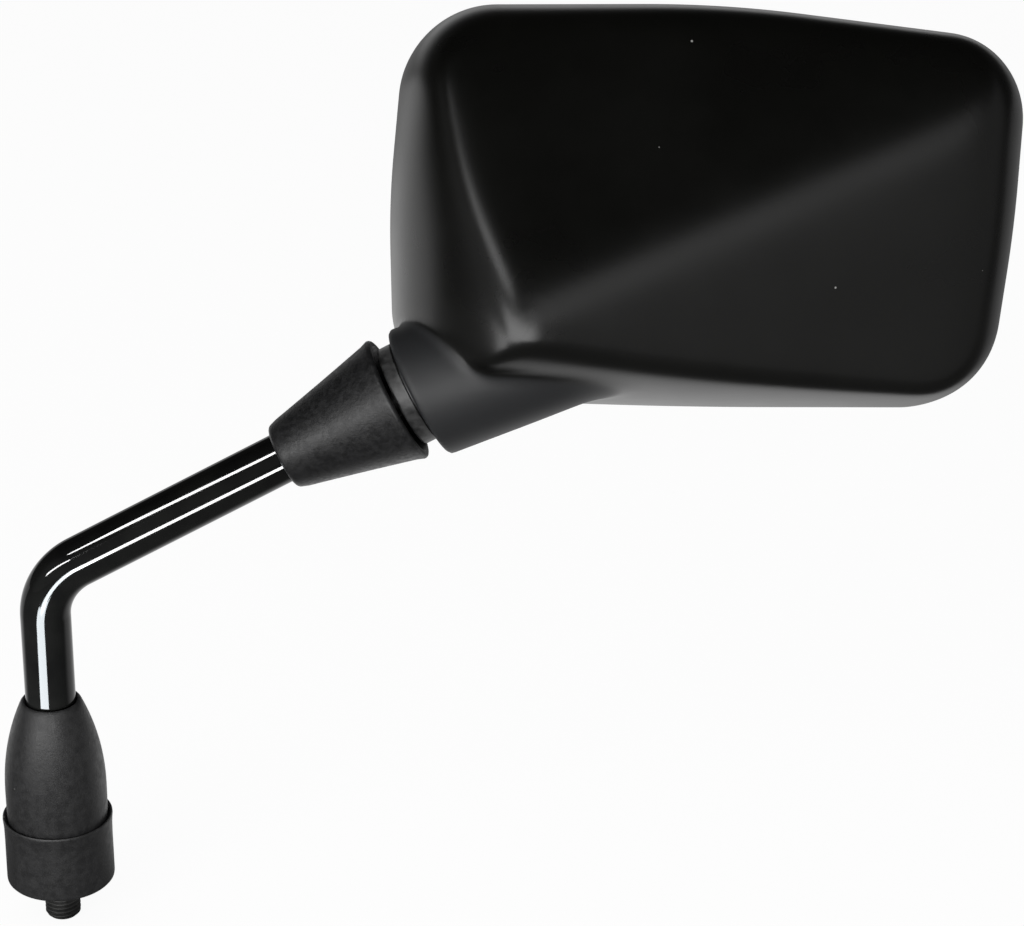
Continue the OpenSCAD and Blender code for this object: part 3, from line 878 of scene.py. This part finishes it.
hollow = shell_form("hollow", AROUND_BORE, HOLLOW_RINGS, WALL, WALL * WALL_SLANT, -1.0)
cut(hollow, bar_between("core", NECK_R, MOUTH_Z, CORE_END_Z, PIVOT_IN_HEAD, AROUND_NECK))
for x, y in SCREWS:
    cut(hollow, bar_between("boss", BOSS_R, CARRIER_BACK_Z, 60, Matrix.Translation((x, y, 0)), 48))
for first, last in ((0, 1), (3, 2), (0, 3), (1, 2)):
    start, end = Vector(SCREWS[first]), Vector(SCREWS[last])
    deselect_all()
    bpy.ops.mesh.primitive_cube_add(size=MM)
    rib = bpy.context.object
    rib.scale = ((end - start).length, RIB_T, TOOL_H)
    rib.rotation_euler.z = math.atan2(end.y - start.y, end.x - start.x)
    rib.location = Vector((*((start + end) / 2), RIB_Z + TOOL_H / 2)) * MM
    bpy.ops.object.transform_apply(location=True, rotation=True, scale=True)
    cut(hollow, rib)
cut(housing, hollow)
cut(housing, bar_between("bore", BORE_R, MOUTH_Z - 3, BORE_END_Z, PIVOT_IN_HEAD, 128))
counterbore_r = RING_R + RING_ROOM
cut(housing, bar_between(
    "counterbore", counterbore_r, MOUTH_Z - 3, RING_SEAT_Z, PIVOT_IN_HEAD, AROUND_BORE
))
cut(housing, prism("glass_room", WALL, -2.0, GLASS_ROOM_Z, 360))
cut(housing, prism("carrier_room", CARRIER_IN - 0.3, -2.0, CARRIER_BACK_Z + 0.05))
for x, y in SCREWS:
    cut(housing, bar_between("pilot", PILOT_R, 0, PILOT_END_Z, Matrix.Translation((x, y, 0)), 24))
place(housing, HEAD_FRAME)
smooth_by_angle(housing, 30)
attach(housing, "head")
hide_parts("housing")
report(housing)

# %% [markdown]
# ## Glass and its seal
#
# The glass is a convex mirror, 2 mm thick and curved with a radius of 1.2 m. Its edge is ground
# to a small bevel on both sides. A rubber seal with a C section holds its edge. The section is
# swept round the rim, and has enough points that both of its lips are rounded.

# %% Mirror glass
GLASS_FACE_Z = -1.0
GLASS_R = 1200.0
GLASS_T = 2.0
GLASS_IN = 4.2
GROUND = 0.35


def dome_height(x, y, radius):
    """Height of a sphere about the centre of the glass face's curve."""
    return GLASS_FACE_Z + GLASS_R - math.sqrt(radius * radius - x * x - y * y)


def dome_loop(inset, radius, lift=0.0, shrink=1.0, around=256):
    rim = rim_outline(around)
    edge = (rim[:, :2] - inset * rim[:, 2:]) * shrink
    return [Vector((x, y, dome_height(x, y, radius) + lift)) for x, y in edge]


front_parts = (0.12, 0.3, 0.5, 0.7, 0.86, 0.95, 1.0)
back_parts = (1.0, 0.9, 0.6, 0.3, 0.12)
front = [dome_loop(GLASS_IN + GROUND, GLASS_R, 0, part) for part in front_parts]
back = [dome_loop(GLASS_IN + GROUND, GLASS_R - GLASS_T, 0, part) for part in back_parts]
edge_loops = [dome_loop(GLASS_IN, GLASS_R, GROUND), dome_loop(GLASS_IN, GLASS_R - GLASS_T, -GROUND)]
mirror_glass = extruded_rings("glass_convex", front + edge_loops + back)
place(mirror_glass, HEAD_FRAME)
smooth_by_angle(mirror_glass, 20)
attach(mirror_glass, "head")
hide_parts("mirror_glass")
report(mirror_glass)

# %% Rim seal
SEAL_OUT = WALL + 0.05
SEAL_LIP = 6.0
SEAL_SEAT = 4.15
LIP_T = 0.8
LIP_BACK = 1.2
section = [
    (SEAL_OUT, GLASS_R - 0.4, 0.0),
    (SEAL_OUT + 0.25, GLASS_R + LIP_T - 0.25, 0.0),
    (SEAL_OUT + 0.8, GLASS_R + LIP_T, 0.0),
    (SEAL_LIP - 0.9, GLASS_R + LIP_T - 0.05, 0.0),
    (SEAL_LIP - 0.25, GLASS_R + 0.35, 0.0),
    (SEAL_LIP, GLASS_R + 0.06, 0.0),
    (SEAL_SEAT, GLASS_R + 0.05, 0.0),
    (SEAL_SEAT, GLASS_R - GLASS_T - 0.05, 0.0),
    (SEAL_LIP, GLASS_R - GLASS_T - 0.06, 0.0),
    (SEAL_LIP - 0.3, GLASS_R - GLASS_T - LIP_BACK, 0.0),
    (SEAL_OUT, GLASS_R - GLASS_T - LIP_BACK, 0.0),
]
seal_loops = [dome_loop(*values) for values in section]
rim_seal = extruded_rings("seal_of_glass", seal_loops, closed=True)
place(rim_seal, HEAD_FRAME)
smooth_by_angle(rim_seal, 40)
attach(rim_seal, "head")
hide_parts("rim_seal")
report(rim_seal)

# %% [markdown]
# ## Effects shared by the finishes
#
# Several finishes need the same effects: a fine moulded grain, slow changes of tone, dust specks,
# lines left by turning, and worn edges. A last one finds the neck, which is duller than the shell
# on the real moulding and gets a lighter tone as painted light, for the light it catches. Each is a
# node group that takes the object's own coordinates and gives out only values, so the shaders stay
# in the materials. Object coordinates are in metres, so a noise scale of 1000 has features about a
# millimetre wide.


# %% Node helpers
def add_node(tree, kind, settings=None, **sockets):
    """Adds a node, sets its options, and sets or links its inputs by name."""
    made = tree.nodes.new(kind)
    for key, value in (settings or {}).items():
        setattr(made, key, value)
    for label, value in sockets.items():
        socket = made.inputs[int(label[1:])] if label[0] == "_" else made.inputs[label]
        if isinstance(value, bpy.types.NodeSocket):
            tree.links.new(value, socket)
        else:
            socket.default_value = value
    return made


def new_group(name, inputs, outputs):
    """Empty shader node group with named inputs and outputs."""
    tree = bpy.data.node_groups.new(name, "ShaderNodeTree")
    for label, value in inputs.items():
        kind = "NodeSocketVector" if value is None else "NodeSocketFloat"
        socket = tree.interface.new_socket(name=label, in_out="INPUT", socket_type=kind)
        if value is not None:
            socket.default_value = value
    for label in outputs:
        tree.interface.new_socket(name=label, in_out="OUTPUT", socket_type="NodeSocketFloat")
    return tree, tree.nodes.new("NodeGroupInput").outputs, tree.nodes.new("NodeGroupOutput").inputs


def coordinates(tree, kind):
    return tree.nodes.new("ShaderNodeTexCoord").outputs[kind]


def math_node(tree, operation, a, b=0.5, c=0.0):
    return add_node(tree, "ShaderNodeMath", {"operation": operation}, _0=a, _1=b, _2=c).outputs[0]


def noise(tree, vector, scale, detail=2.0, roughness=0.5):
    made = add_node(tree, "ShaderNodeTexNoise", Vector=vector, Scale=scale, Detail=detail)
    made.inputs["Roughness"].default_value = roughness
    return made.outputs[0]


def ramp(tree, value, low, high):
    """Smooth step of a value from 0 at low to 1 at high."""
    settings = {"interpolation_type": "SMOOTHSTEP"}
    made = add_node(tree, "ShaderNodeMapRange", settings, Value=value)
    made.inputs["From Min"].default_value = low
    made.inputs["From Max"].default_value = high
    return made.outputs[0]


# %% Moulded grain: two sizes of fine noise for the bump
grain, source, result = new_group("moulded_grain", {"Vector": None, "Scale": 2400.0}, ["Height"])
fine = noise(grain, source["Vector"], source["Scale"], 2.0, 0.6)
coarse_scale = math_node(grain, "MULTIPLY", source["Scale"], 0.23)
coarse = noise(grain, source["Vector"], coarse_scale, 2.0, 0.5)
coarse_part = math_node(grain, "MULTIPLY", coarse, 0.4)
grain.links.new(math_node(grain, "MULTIPLY_ADD", fine, 0.6, coarse_part), result["Height"])

# %% Mottling: slow, cloudy change of tone
mottle, source, result = new_group("mottling", {"Vector": None, "Scale": 60.0}, ["Value"])
clouds = noise(mottle, source["Vector"], source["Scale"], 4.0, 0.62)
mottle.links.new(ramp(mottle, clouds, 0.3, 0.7), result["Value"])

# %% Dust: sparse specks of uneven size
dust, source, result = new_group(
    "dust_specks", {"Vector": None, "Scale": 260.0, "Amount": 0.1}, ["Mask"]
)
cells = add_node(
    dust, "ShaderNodeTexVoronoi", Vector=source["Vector"], Scale=source["Scale"], Randomness=1.0
)
parts = add_node(dust, "ShaderNodeSeparateColor", Color=cells.outputs["Color"])
chosen = math_node(dust, "LESS_THAN", parts.outputs[0], source["Amount"])
size = math_node(dust, "MULTIPLY", parts.outputs[1], 0.16)
near = math_node(dust, "SUBTRACT", size, cells.outputs["Distance"])
spot = ramp(dust, near, 0.0, 0.05)
dust.links.new(math_node(dust, "MULTIPLY", spot, chosen), result["Mask"])

# %% Edge wear: convex edges, broken up by noise
wear, source, result = new_group(
    "edge_wear", {"Vector": None, "Scale": 500.0, "Width": 0.1}, ["Mask"]
)
geometry = wear.nodes.new("ShaderNodeNewGeometry")
limit = math_node(wear, "SUBTRACT", 0.62, source["Width"])
broken = noise(wear, source["Vector"], source["Scale"], 3.0, 0.6)
uneven = math_node(wear, "MULTIPLY_ADD", broken, 0.12, geometry.outputs["Pointiness"])
above = math_node(wear, "SUBTRACT", uneven, limit)
wear.links.new(ramp(wear, above, 0.0, 0.06), result["Mask"])

# %% Turning lines: fine rings along one axis, for machined metal
lines, source, result = new_group("turning_lines", {"Vector": None, "Scale": 3000.0}, ["Height"])
split = add_node(lines, "ShaderNodeSeparateXYZ", Vector=source["Vector"])
along = math_node(lines, "MULTIPLY", split.outputs[2], source["Scale"])
line_noise = add_node(lines, "ShaderNodeTexNoise", {"noise_dimensions": "1D"}, W=along, Scale=1.0)
lines.links.new(line_noise.outputs[0], result["Height"])

# %% Neck mask for a duller finish and painted light: full on the neck's cone, nothing from its crease with the shell on
near_neck, source, result = new_group("neck_reach", {"Vector": None, "Fade": 0.0014}, ["Mask"])
to_pivot = PIVOT_FRAME.inverted()
in_pivot = add_node(near_neck, "ShaderNodeMapping", Vector=source["Vector"])
in_pivot.inputs["Rotation"].default_value = to_pivot.to_euler()
in_pivot.inputs["Location"].default_value = to_pivot.translation * MM
neck_at = add_node(near_neck, "ShaderNodeSeparateXYZ", Vector=in_pivot.outputs[0])
neck_start = (MOUTH_Z + LIP_H) * MM
NECK_FADES = (0.044, 0.05)


def along_neck(start, end):
    """Value that goes evenly from start at the neck's mouth to end at its inner end."""
    slope = (end - start) / (NECK_END_Z * MM - neck_start)
    at_zero = start - slope * neck_start
    return math_node(near_neck, "MULTIPLY_ADD", neck_at.outputs[2], slope, at_zero)


drop = along_neck(NECK_DROP * MM, NECK_END_DROP * MM)
aside = math_node(near_neck, "SUBTRACT", neck_at.outputs[0], drop)
flat = add_node(near_neck, "ShaderNodeCombineXYZ", _0=aside, _1=neck_at.outputs[1])
reach = add_node(near_neck, "ShaderNodeVectorMath", {"operation": "LENGTH"}, _0=flat.outputs[0])
off_neck = math_node(
    near_neck, "SUBTRACT", reach.outputs["Value"], along_neck(NECK_R * MM, NECK_END_R * MM)
)
share_off = math_node(near_neck, "DIVIDE", off_neck, source["Fade"])
on_cone = math_node(near_neck, "SUBTRACT", 1.0, ramp(near_neck, share_off, 0.1, 1.0))
past_end = ramp(near_neck, neck_at.outputs[2], *NECK_FADES)
before_end = math_node(near_neck, "SUBTRACT", 1.0, past_end)
near_neck.links.new(math_node(near_neck, "MULTIPLY", on_cone, before_end), result["Mask"])
print("groups:", sorted(g.name for g in bpy.data.node_groups))

# %% [markdown]
# ## Finishes
#
# Every finish is a Principled shader. What is the same all over, such as the metal value or the
# IOR, is set on the shader itself. What changes over the surface comes from the groups: two close
# tones mixed by the mottling, a roughness that wanders, dust, wear and a bump.


# %% Finish builder
def finish(
    name,
    tones,
    roughness,
    grain_scale=2400.0,
    grain_depth=0.00002,
    mottle_scale=60.0,
    specks=0.0,
    speck_tone=(0.3, 0.3, 0.29),
    wear_width=0.0,
    wear_tone=(0.1, 0.1, 0.1),
    line_scale=0.0,
    turn=None,
    neck=None,
    **constants,
):
    """Finish with two tones, a roughness range, grain, specks, worn edges and turning lines."""
    material = bpy.data.materials.new(name)
    material.use_nodes = True
    tree = material.node_tree
    shader = tree.nodes["Principled BSDF"]
    for label, value in constants.items():
        shader.inputs[label.replace("_", " ")].default_value = value
    place_of = add_node(tree, "ShaderNodeMapping", Vector=coordinates(tree, "Object"))
    if turn:
        place_of.inputs["Rotation"].default_value = turn
    where = place_of.outputs[0]

    def effect(group, output, **values):
        made = add_node(tree, "ShaderNodeGroup", {"node_tree": group}, Vector=where, **values)
        return made.outputs[output]

    def mix(mask, a, b):
        made = add_node(tree, "ShaderNodeMix", {"data_type": "RGBA"}, _0=mask)
        for index, tone in ((6, a), (7, b)):
            if isinstance(tone, bpy.types.NodeSocket):
                tree.links.new(tone, made.inputs[index])
            else:
                made.inputs[index].default_value = (*tone, 1.0)
        return made.outputs[2]

    cloud = effect(mottle, "Value", Scale=mottle_scale)
    colour = mix(cloud, tones[0], tones[1])
    shine = add_node(tree, "ShaderNodeMapRange", Value=cloud)
    shine.inputs["To Min"].default_value, shine.inputs["To Max"].default_value = roughness
    rough = shine.outputs[0]
    # On the neck the tone is lighter and bluer as painted light, for the light it catches, and the
    # roughness is higher for its duller finish.
    if neck:
        neck_lit_and_dull = effect(near_neck, "Mask")
        colour = mix(neck_lit_and_dull, colour, neck[0])
        rough = math_node(tree, "MULTIPLY_ADD", neck_lit_and_dull, neck[1], rough)
    if wear_width:
        worn = effect(wear, "Mask", Width=wear_width)
        colour = mix(worn, colour, wear_tone)
    if specks:
        speck = effect(dust, "Mask", Amount=specks)
        colour = mix(speck, colour, speck_tone)
        rough = math_node(tree, "MAXIMUM", rough, math_node(tree, "MULTIPLY", speck, 0.8))
    tree.links.new(colour, shader.inputs["Base Color"])
    tree.links.new(rough, shader.inputs["Roughness"])
    height = effect(grain, "Height", Scale=grain_scale)
    bump = add_node(tree, "ShaderNodeBump", Height=height, Strength=1.0, Distance=grain_depth)
    if line_scale:
        turned_height = effect(lines, "Height", Scale=line_scale)
        bump = add_node(
            tree, "ShaderNodeBump", Height=turned_height, Strength=1.0, Distance=0.00001,
            Normal=bump.outputs[0],
        )
    tree.links.new(bump.outputs[0], shader.inputs["Normal"])
    return material


# %% The finishes of the mirror
LEG_TURN = (0.0, -(math.pi / 2 - LEG_RISE), 0.0)
gloss_black = finish(
    "gloss_black", [(0.0008, 0.0008, 0.0008), (0.0014, 0.0014, 0.0013)], (0.04, 0.08),
    grain_scale=420.0, grain_depth=0.000003, specks=0.012, IOR=1.27,
)
dark_zinc = finish(
    "dark_zinc", [(0.12, 0.12, 0.12), (0.26, 0.26, 0.255)], (0.3, 0.5),
    grain_scale=1600.0, grain_depth=0.00003, Metallic=1.0,
)
cover_rubber = finish(
    "cover_rubber", [(0.004, 0.004, 0.0043), (0.0085, 0.0085, 0.009)], (0.36, 0.52),
    grain_scale=1100.0, grain_depth=0.00013, mottle_scale=620.0, specks=0.12,
    speck_tone=(0.14, 0.14, 0.14),
)
collar_rubber = finish(
    "collar_rubber", [(0.009, 0.009, 0.0094), (0.015, 0.015, 0.0155)], (0.42, 0.56),
    grain_scale=1100.0, grain_depth=0.00012, mottle_scale=420.0, specks=0.1,
    speck_tone=(0.14, 0.14, 0.13),
)
ring_black = finish(
    "ring_black", [(0.005, 0.005, 0.005), (0.01, 0.01, 0.01)], (0.3, 0.46),
    grain_scale=260.0, grain_depth=0.00012, wear_width=0.06, wear_tone=(0.04, 0.04, 0.04),
)
# The neck's lighter, bluish tone is painted light; its added roughness is its duller finish.
shell_plastic = finish(
    "shell_plastic", [(0.0009, 0.0009, 0.0006), (0.0014, 0.0014, 0.001)], (0.27, 0.31),
    grain_scale=2600.0, grain_depth=0.000012, mottle_scale=25.0, specks=0.012,
    speck_tone=(0.2, 0.2, 0.19), neck=((0.011, 0.0115, 0.0125), 0.24),
)
seal_rubber = finish(
    "seal_rubber", [(0.012, 0.012, 0.012), (0.02, 0.02, 0.02)], (0.5, 0.65),
    grain_scale=1800.0, grain_depth=0.00004, specks=0.03,
)
mirror_coat = finish(
    "mirror_coat", [(0.80, 0.85, 0.88), (0.83, 0.87, 0.9)], (0.01, 0.03),
    grain_scale=300.0, grain_depth=0.0000004, specks=0.006, speck_tone=(0.5, 0.5, 0.5),
    Metallic=1.0,
)
bright_steel = finish(
    "bright_steel", [(0.55, 0.55, 0.56), (0.66, 0.66, 0.67)], (0.12, 0.22),
    line_scale=9000.0, turn=LEG_TURN, grain_depth=0.000004, Metallic=1.0,
)
phosphated_steel = finish(
    "phosphated_steel", [(0.03, 0.03, 0.03), (0.06, 0.06, 0.058)], (0.42, 0.6),
    grain_scale=1500.0, grain_depth=0.00003, mottle_scale=180.0, Metallic=1.0,
)
zinc_plate = finish(
    "zinc_plate", [(0.5, 0.51, 0.52), (0.64, 0.63, 0.6)], (0.25, 0.42),
    grain_scale=900.0, grain_depth=0.00002, mottle_scale=220.0, line_scale=6000.0,
    wear_width=0.08, wear_tone=(0.75, 0.75, 0.75), Metallic=1.0,
)
liner_acetal = finish(
    "liner_acetal", [(0.62, 0.61, 0.57), (0.7, 0.69, 0.65)], (0.3, 0.42),
    grain_scale=2000.0, grain_depth=0.00001, Subsurface_Weight=0.05,
)
carrier_plastic = finish(
    "carrier_plastic", [(0.02, 0.02, 0.02), (0.03, 0.03, 0.03)], (0.45, 0.6),
    grain_scale=1200.0, grain_depth=0.00004, specks=0.02,
)
pad_foam = finish(
    "pad_foam", [(0.24, 0.24, 0.23), (0.34, 0.34, 0.33)], (0.8, 0.95),
    grain_scale=700.0, grain_depth=0.0002, mottle_scale=400.0,
)

FINISHED = [
    (gloss_black, [stem_rod], ["stem"]),
    (dark_zinc, [stud_thread], []),
    (collar_rubber, [base_collar, base_cover], ["base_collar", "base_cover"]),
    (cover_rubber, [cone_cover], ["cone_cover"]),
    (ring_black, [pivot_ring], ["pivot_ring"]),
    (shell_plastic, [housing], ["housing"]),
    (mirror_coat, [mirror_glass], ["mirror_glass"]),
    (seal_rubber, [rim_seal], ["rim_seal"]),
    (phosphated_steel, [], ["ball_stud"]),
    (zinc_plate, [], ["lock_nut", "spring_washer", "plain_washer", "carrier_screws"]),
    (liner_acetal, [], ["front_liner", "rear_liner"]),
    (bright_steel, [], ["seat_cup", "disc_springs", "thrust_disc"]),
    (carrier_plastic, [], ["carrier_plate"]),
    (pad_foam, [], ["adhesive_pad"]),
]
for material, pieces, nodes in FINISHED:
    for piece in pieces:
        piece.data.materials.clear()
        piece.data.materials.append(material)
    for node_name in nodes:
        for slot in bpy.data.objects[node_name].material_slots:
            slot.material = material
print("finishes:", len(bpy.data.materials))

# %% [markdown]
# ## Floor and light
#
# The mirror stands over a pale floor in a white studio. Camera, glossy and transmission rays see
# the floor and the backdrop nearly white, and a part of the floor's colour still comes from the
# light on it, which keeps the object's shadow. The room in front of the mirror and its ceiling are
# dim, so the black facets stay dark in reflections, as in the photograph.

# %% Floor: a white glow where rays from the camera and reflections meet it
FLOOR_Z = -STUD_FREE * MM - 0.0003
FLOOR_SIZE = 12.0
FLOOR_WHITE = 0.93
FLOOR_DIM_FROM = -0.04
FLOOR_WHITE_FROM = 0.03
FLOOR_FAN = 0.3
FLOOR_DIM = 0.07
FLOOR_FAR = 0.25
FLOOR_MIDDLE = 0.15
FAR_SLANT = 1.2
FAR_REACH = (0.3, 0.75)

deselect_all()
bpy.ops.mesh.primitive_grid_add(
    x_subdivisions=4, y_subdivisions=4, size=FLOOR_SIZE, location=(0, 0, FLOOR_Z)
)
floor = bpy.context.object
floor.name = "studio_floor"
bpy.ops.object.transform_apply(location=True)


def background_share(tree):
    """1 for camera, glossy and transmission rays, otherwise 0."""
    path = tree.nodes.new("ShaderNodeLightPath")
    seen = math_node(tree, "MAXIMUM", path.outputs["Is Camera Ray"], path.outputs["Is Glossy Ray"])
    return math_node(tree, "MAXIMUM", seen, path.outputs["Is Transmission Ray"])


def level_between(tree, share, low, high):
    """Value that goes from low to high with a share."""
    settings = {"data_type": "FLOAT"}
    return add_node(tree, "ShaderNodeMix", settings, _0=share, _2=low, _3=high).outputs[0]


def white_seen(tree, reflected):
    """White for the camera, and a strength of its own for reflections."""
    path = tree.nodes.new("ShaderNodeLightPath")
    return math_node(tree, "MAXIMUM", reflected, path.outputs["Is Camera Ray"])


pale = bpy.data.materials.new("pale_floor")
pale.use_nodes = True
tree = pale.node_tree
shader = tree.nodes["Principled BSDF"]
shader.inputs["Base Color"].default_value = (0.86, 0.86, 0.86, 1)
shader.inputs["Roughness"].default_value = 0.9
shader.inputs["Specular IOR Level"].default_value = 0.1
where = add_node(tree, "ShaderNodeSeparateXYZ", Vector=coordinates(tree, "Object"))
aside = math_node(tree, "ABSOLUTE", math_node(tree, "SUBTRACT", where.outputs[0], FLOOR_MIDDLE))
back_there = math_node(tree, "MULTIPLY_ADD", aside, -FLOOR_FAN, where.outputs[1])
behind = ramp(tree, back_there, FLOOR_DIM_FROM, FLOOR_WHITE_FROM)
across = math_node(tree, "MULTIPLY_ADD", where.outputs[0], FAR_SLANT, where.outputs[1])
far_white = level_between(tree, ramp(tree, across, *FAR_REACH), 1.0, FLOOR_FAR)
glow_strength = white_seen(tree, level_between(tree, behind, FLOOR_DIM, far_white))
glow = add_node(tree, "ShaderNodeEmission", Color=(1, 1, 1, 1), Strength=glow_strength)
share = math_node(tree, "MULTIPLY", background_share(tree), FLOOR_WHITE)
both = add_node(tree, "ShaderNodeMixShader", Fac=share, _1=shader.outputs[0], _2=glow.outputs[0])
tree.links.new(both.outputs[0], tree.nodes["Material Output"].inputs["Surface"])
floor.data.materials.append(pale)

# %% World
SKY_LIGHT = 0.6
ROOM_DIM = 0.27
BACK_DIM = 0.03
CEILING_DIM = 0.005
BACK_REACH = (-0.3, 0.2)
LOW_REACH = (0.6, 1.05)
OVERHEAD_REACH = (0.5, 0.7)
world = bpy.data.worlds.new("white_studio")
bpy.context.scene.world = world
world.use_nodes = True
tree = world.node_tree
tree.nodes.clear()
around = add_node(tree, "ShaderNodeBackground", Color=(1, 1, 1, 1), Strength=SKY_LIGHT)
way = add_node(tree, "ShaderNodeSeparateXYZ", Vector=coordinates(tree, "Generated"))
at_back = ramp(tree, way.outputs[1], *BACK_REACH)
behind_low = math_node(tree, "SUBTRACT", way.outputs[1], way.outputs[2])
low_and_behind = ramp(tree, behind_low, *LOW_REACH)
overhead = ramp(tree, way.outputs[2], *OVERHEAD_REACH)
room = level_between(tree, at_back, ROOM_DIM, BACK_DIM)
room = level_between(tree, overhead, room, CEILING_DIM)
seen_strength = white_seen(tree, level_between(tree, low_and_behind, room, 1.0))
seen = add_node(tree, "ShaderNodeBackground", Color=(1, 1, 1, 1), Strength=seen_strength)
sky = add_node(tree, "ShaderNodeMixShader", Fac=background_share(tree))
tree.links.new(around.outputs[0], sky.inputs[1])
tree.links.new(seen.outputs[0], sky.inputs[2])
tree.links.new(sky.outputs[0], tree.nodes.new("ShaderNodeOutputWorld").inputs[0])


# %% [markdown]
# ## Lamps
#
# The gloss stem shows its lamps as lines, so each line in the photograph gets a long, narrow lamp
# of its own, laid where a mirror on the rod would send the camera's ray. These lamps light only the
# stem. The satin head is drawn by large softboxes: a wide one in front for the lower facet, and
# three small ones for the left wall, the ridge and the neck. They leave the stem out, which would
# otherwise show them as further lines.

# %% Kinds of lamps
def softbox(name, azimuth, elevation, away, size, power, target=VIEW_TARGET, tone=(1, 1, 1)):
    """Rectangular lamp in a direction from a point, turned to it."""
    lamp = bpy.data.lights.new(name, "AREA")
    lamp.shape = "RECTANGLE"
    lamp.size, lamp.size_y = size
    lamp.energy = power
    lamp.color = tone
    holder = bpy.data.objects.new(name, lamp)
    bpy.context.scene.collection.objects.link(holder)
    place_at = target + direction(math.radians(azimuth), math.radians(elevation)) * away
    holder.location = place_at
    holder.rotation_euler = turn_to(place_at, target)
    holder.visible_camera = False
    return holder


def only_on(lamp, *pieces):
    """Lets a lamp light only some pieces, as a small card held close to them would."""
    lit = bpy.data.collections.new(lamp.name + "_lit")
    for piece in pieces:
        lit.objects.link(piece)
    lamp.light_linking.receiver_collection = lit
    return lamp


def not_on(lamp, piece):
    """Keeps a lamp off one piece, as a flag in front of it would."""
    unlit = bpy.data.collections.new(lamp.name + "_unlit")
    unlit.objects.link(piece)
    lamp.light_linking.receiver_collection = unlit
    unlit.collection_objects[0].light_linking.link_state = "EXCLUDE"
    return lamp


def strip_lamp(name, start, end, width, target, density, tone=(1, 1, 1)):
    """Long lamp from one point to another in millimetres, turned to a point of the stem."""
    start, end, target = (Vector(point) * MM for point in (start, end, target))
    length = (end - start).length
    middle = (start + end) / 2
    lamp = softbox(name, 0, 0, 1.0, (length, width), density * length * width, target, tone)
    along = (end - start).normalized()
    back = middle - target
    back = (back - along * back.dot(along)).normalized()
    lamp.location = middle
    lamp.rotation_euler = Matrix((along, back.cross(along), back)).transposed().to_euler()
    return only_on(lamp, stem_rod)


# %% Lamps that draw the two lines on the upper leg and the band on the lower leg
LINE_DENSITY = 290.0
BAND_TONE = (0.9, 0.96, 1.0)
strip_lamp("line_high", (-278, -118, 436), (-160, -262, 428), 0.045, (38, -5, 119), LINE_DENSITY)
strip_lamp("bend_glint", (-395, -190, 228), (-236, -309, 328), 0.035, (6, -6, 102), LINE_DENSITY)
strip_lamp("line_low", (-48, -252, 54), (75, -242, 47), 0.045, (38, -7, 115), LINE_DENSITY)
strip_lamp("bend_line", (-30, -252, 58), (-92, -218, -9), 0.06, (3, -7, 94), 230.0, BAND_TONE)
strip_lamp("lower_band", (-35, -94, 54), (-39, -71, -6), 0.055, (-1, -7, 75), 185.0, BAND_TONE)

# %% Lamps for the rest of the mirror
SOFTBOXES = {
    "window_softbox": (-19, 16, 1.2, (1.25, 0.66), 11.5),
    "front_softbox": (26, 38, 1.2, (0.8, 0.34), 0.75),
    "left_card": (-56, -3, 0.6, (0.22, 0.3), 0.75),
    "neck_light": (-40, 50, 1.2, (0.4, 0.22), 1.2),
}
for name, values in SOFTBOXES.items():
    not_on(softbox(name, *values), stem_rod)
print("lamps:", len(bpy.data.lights))
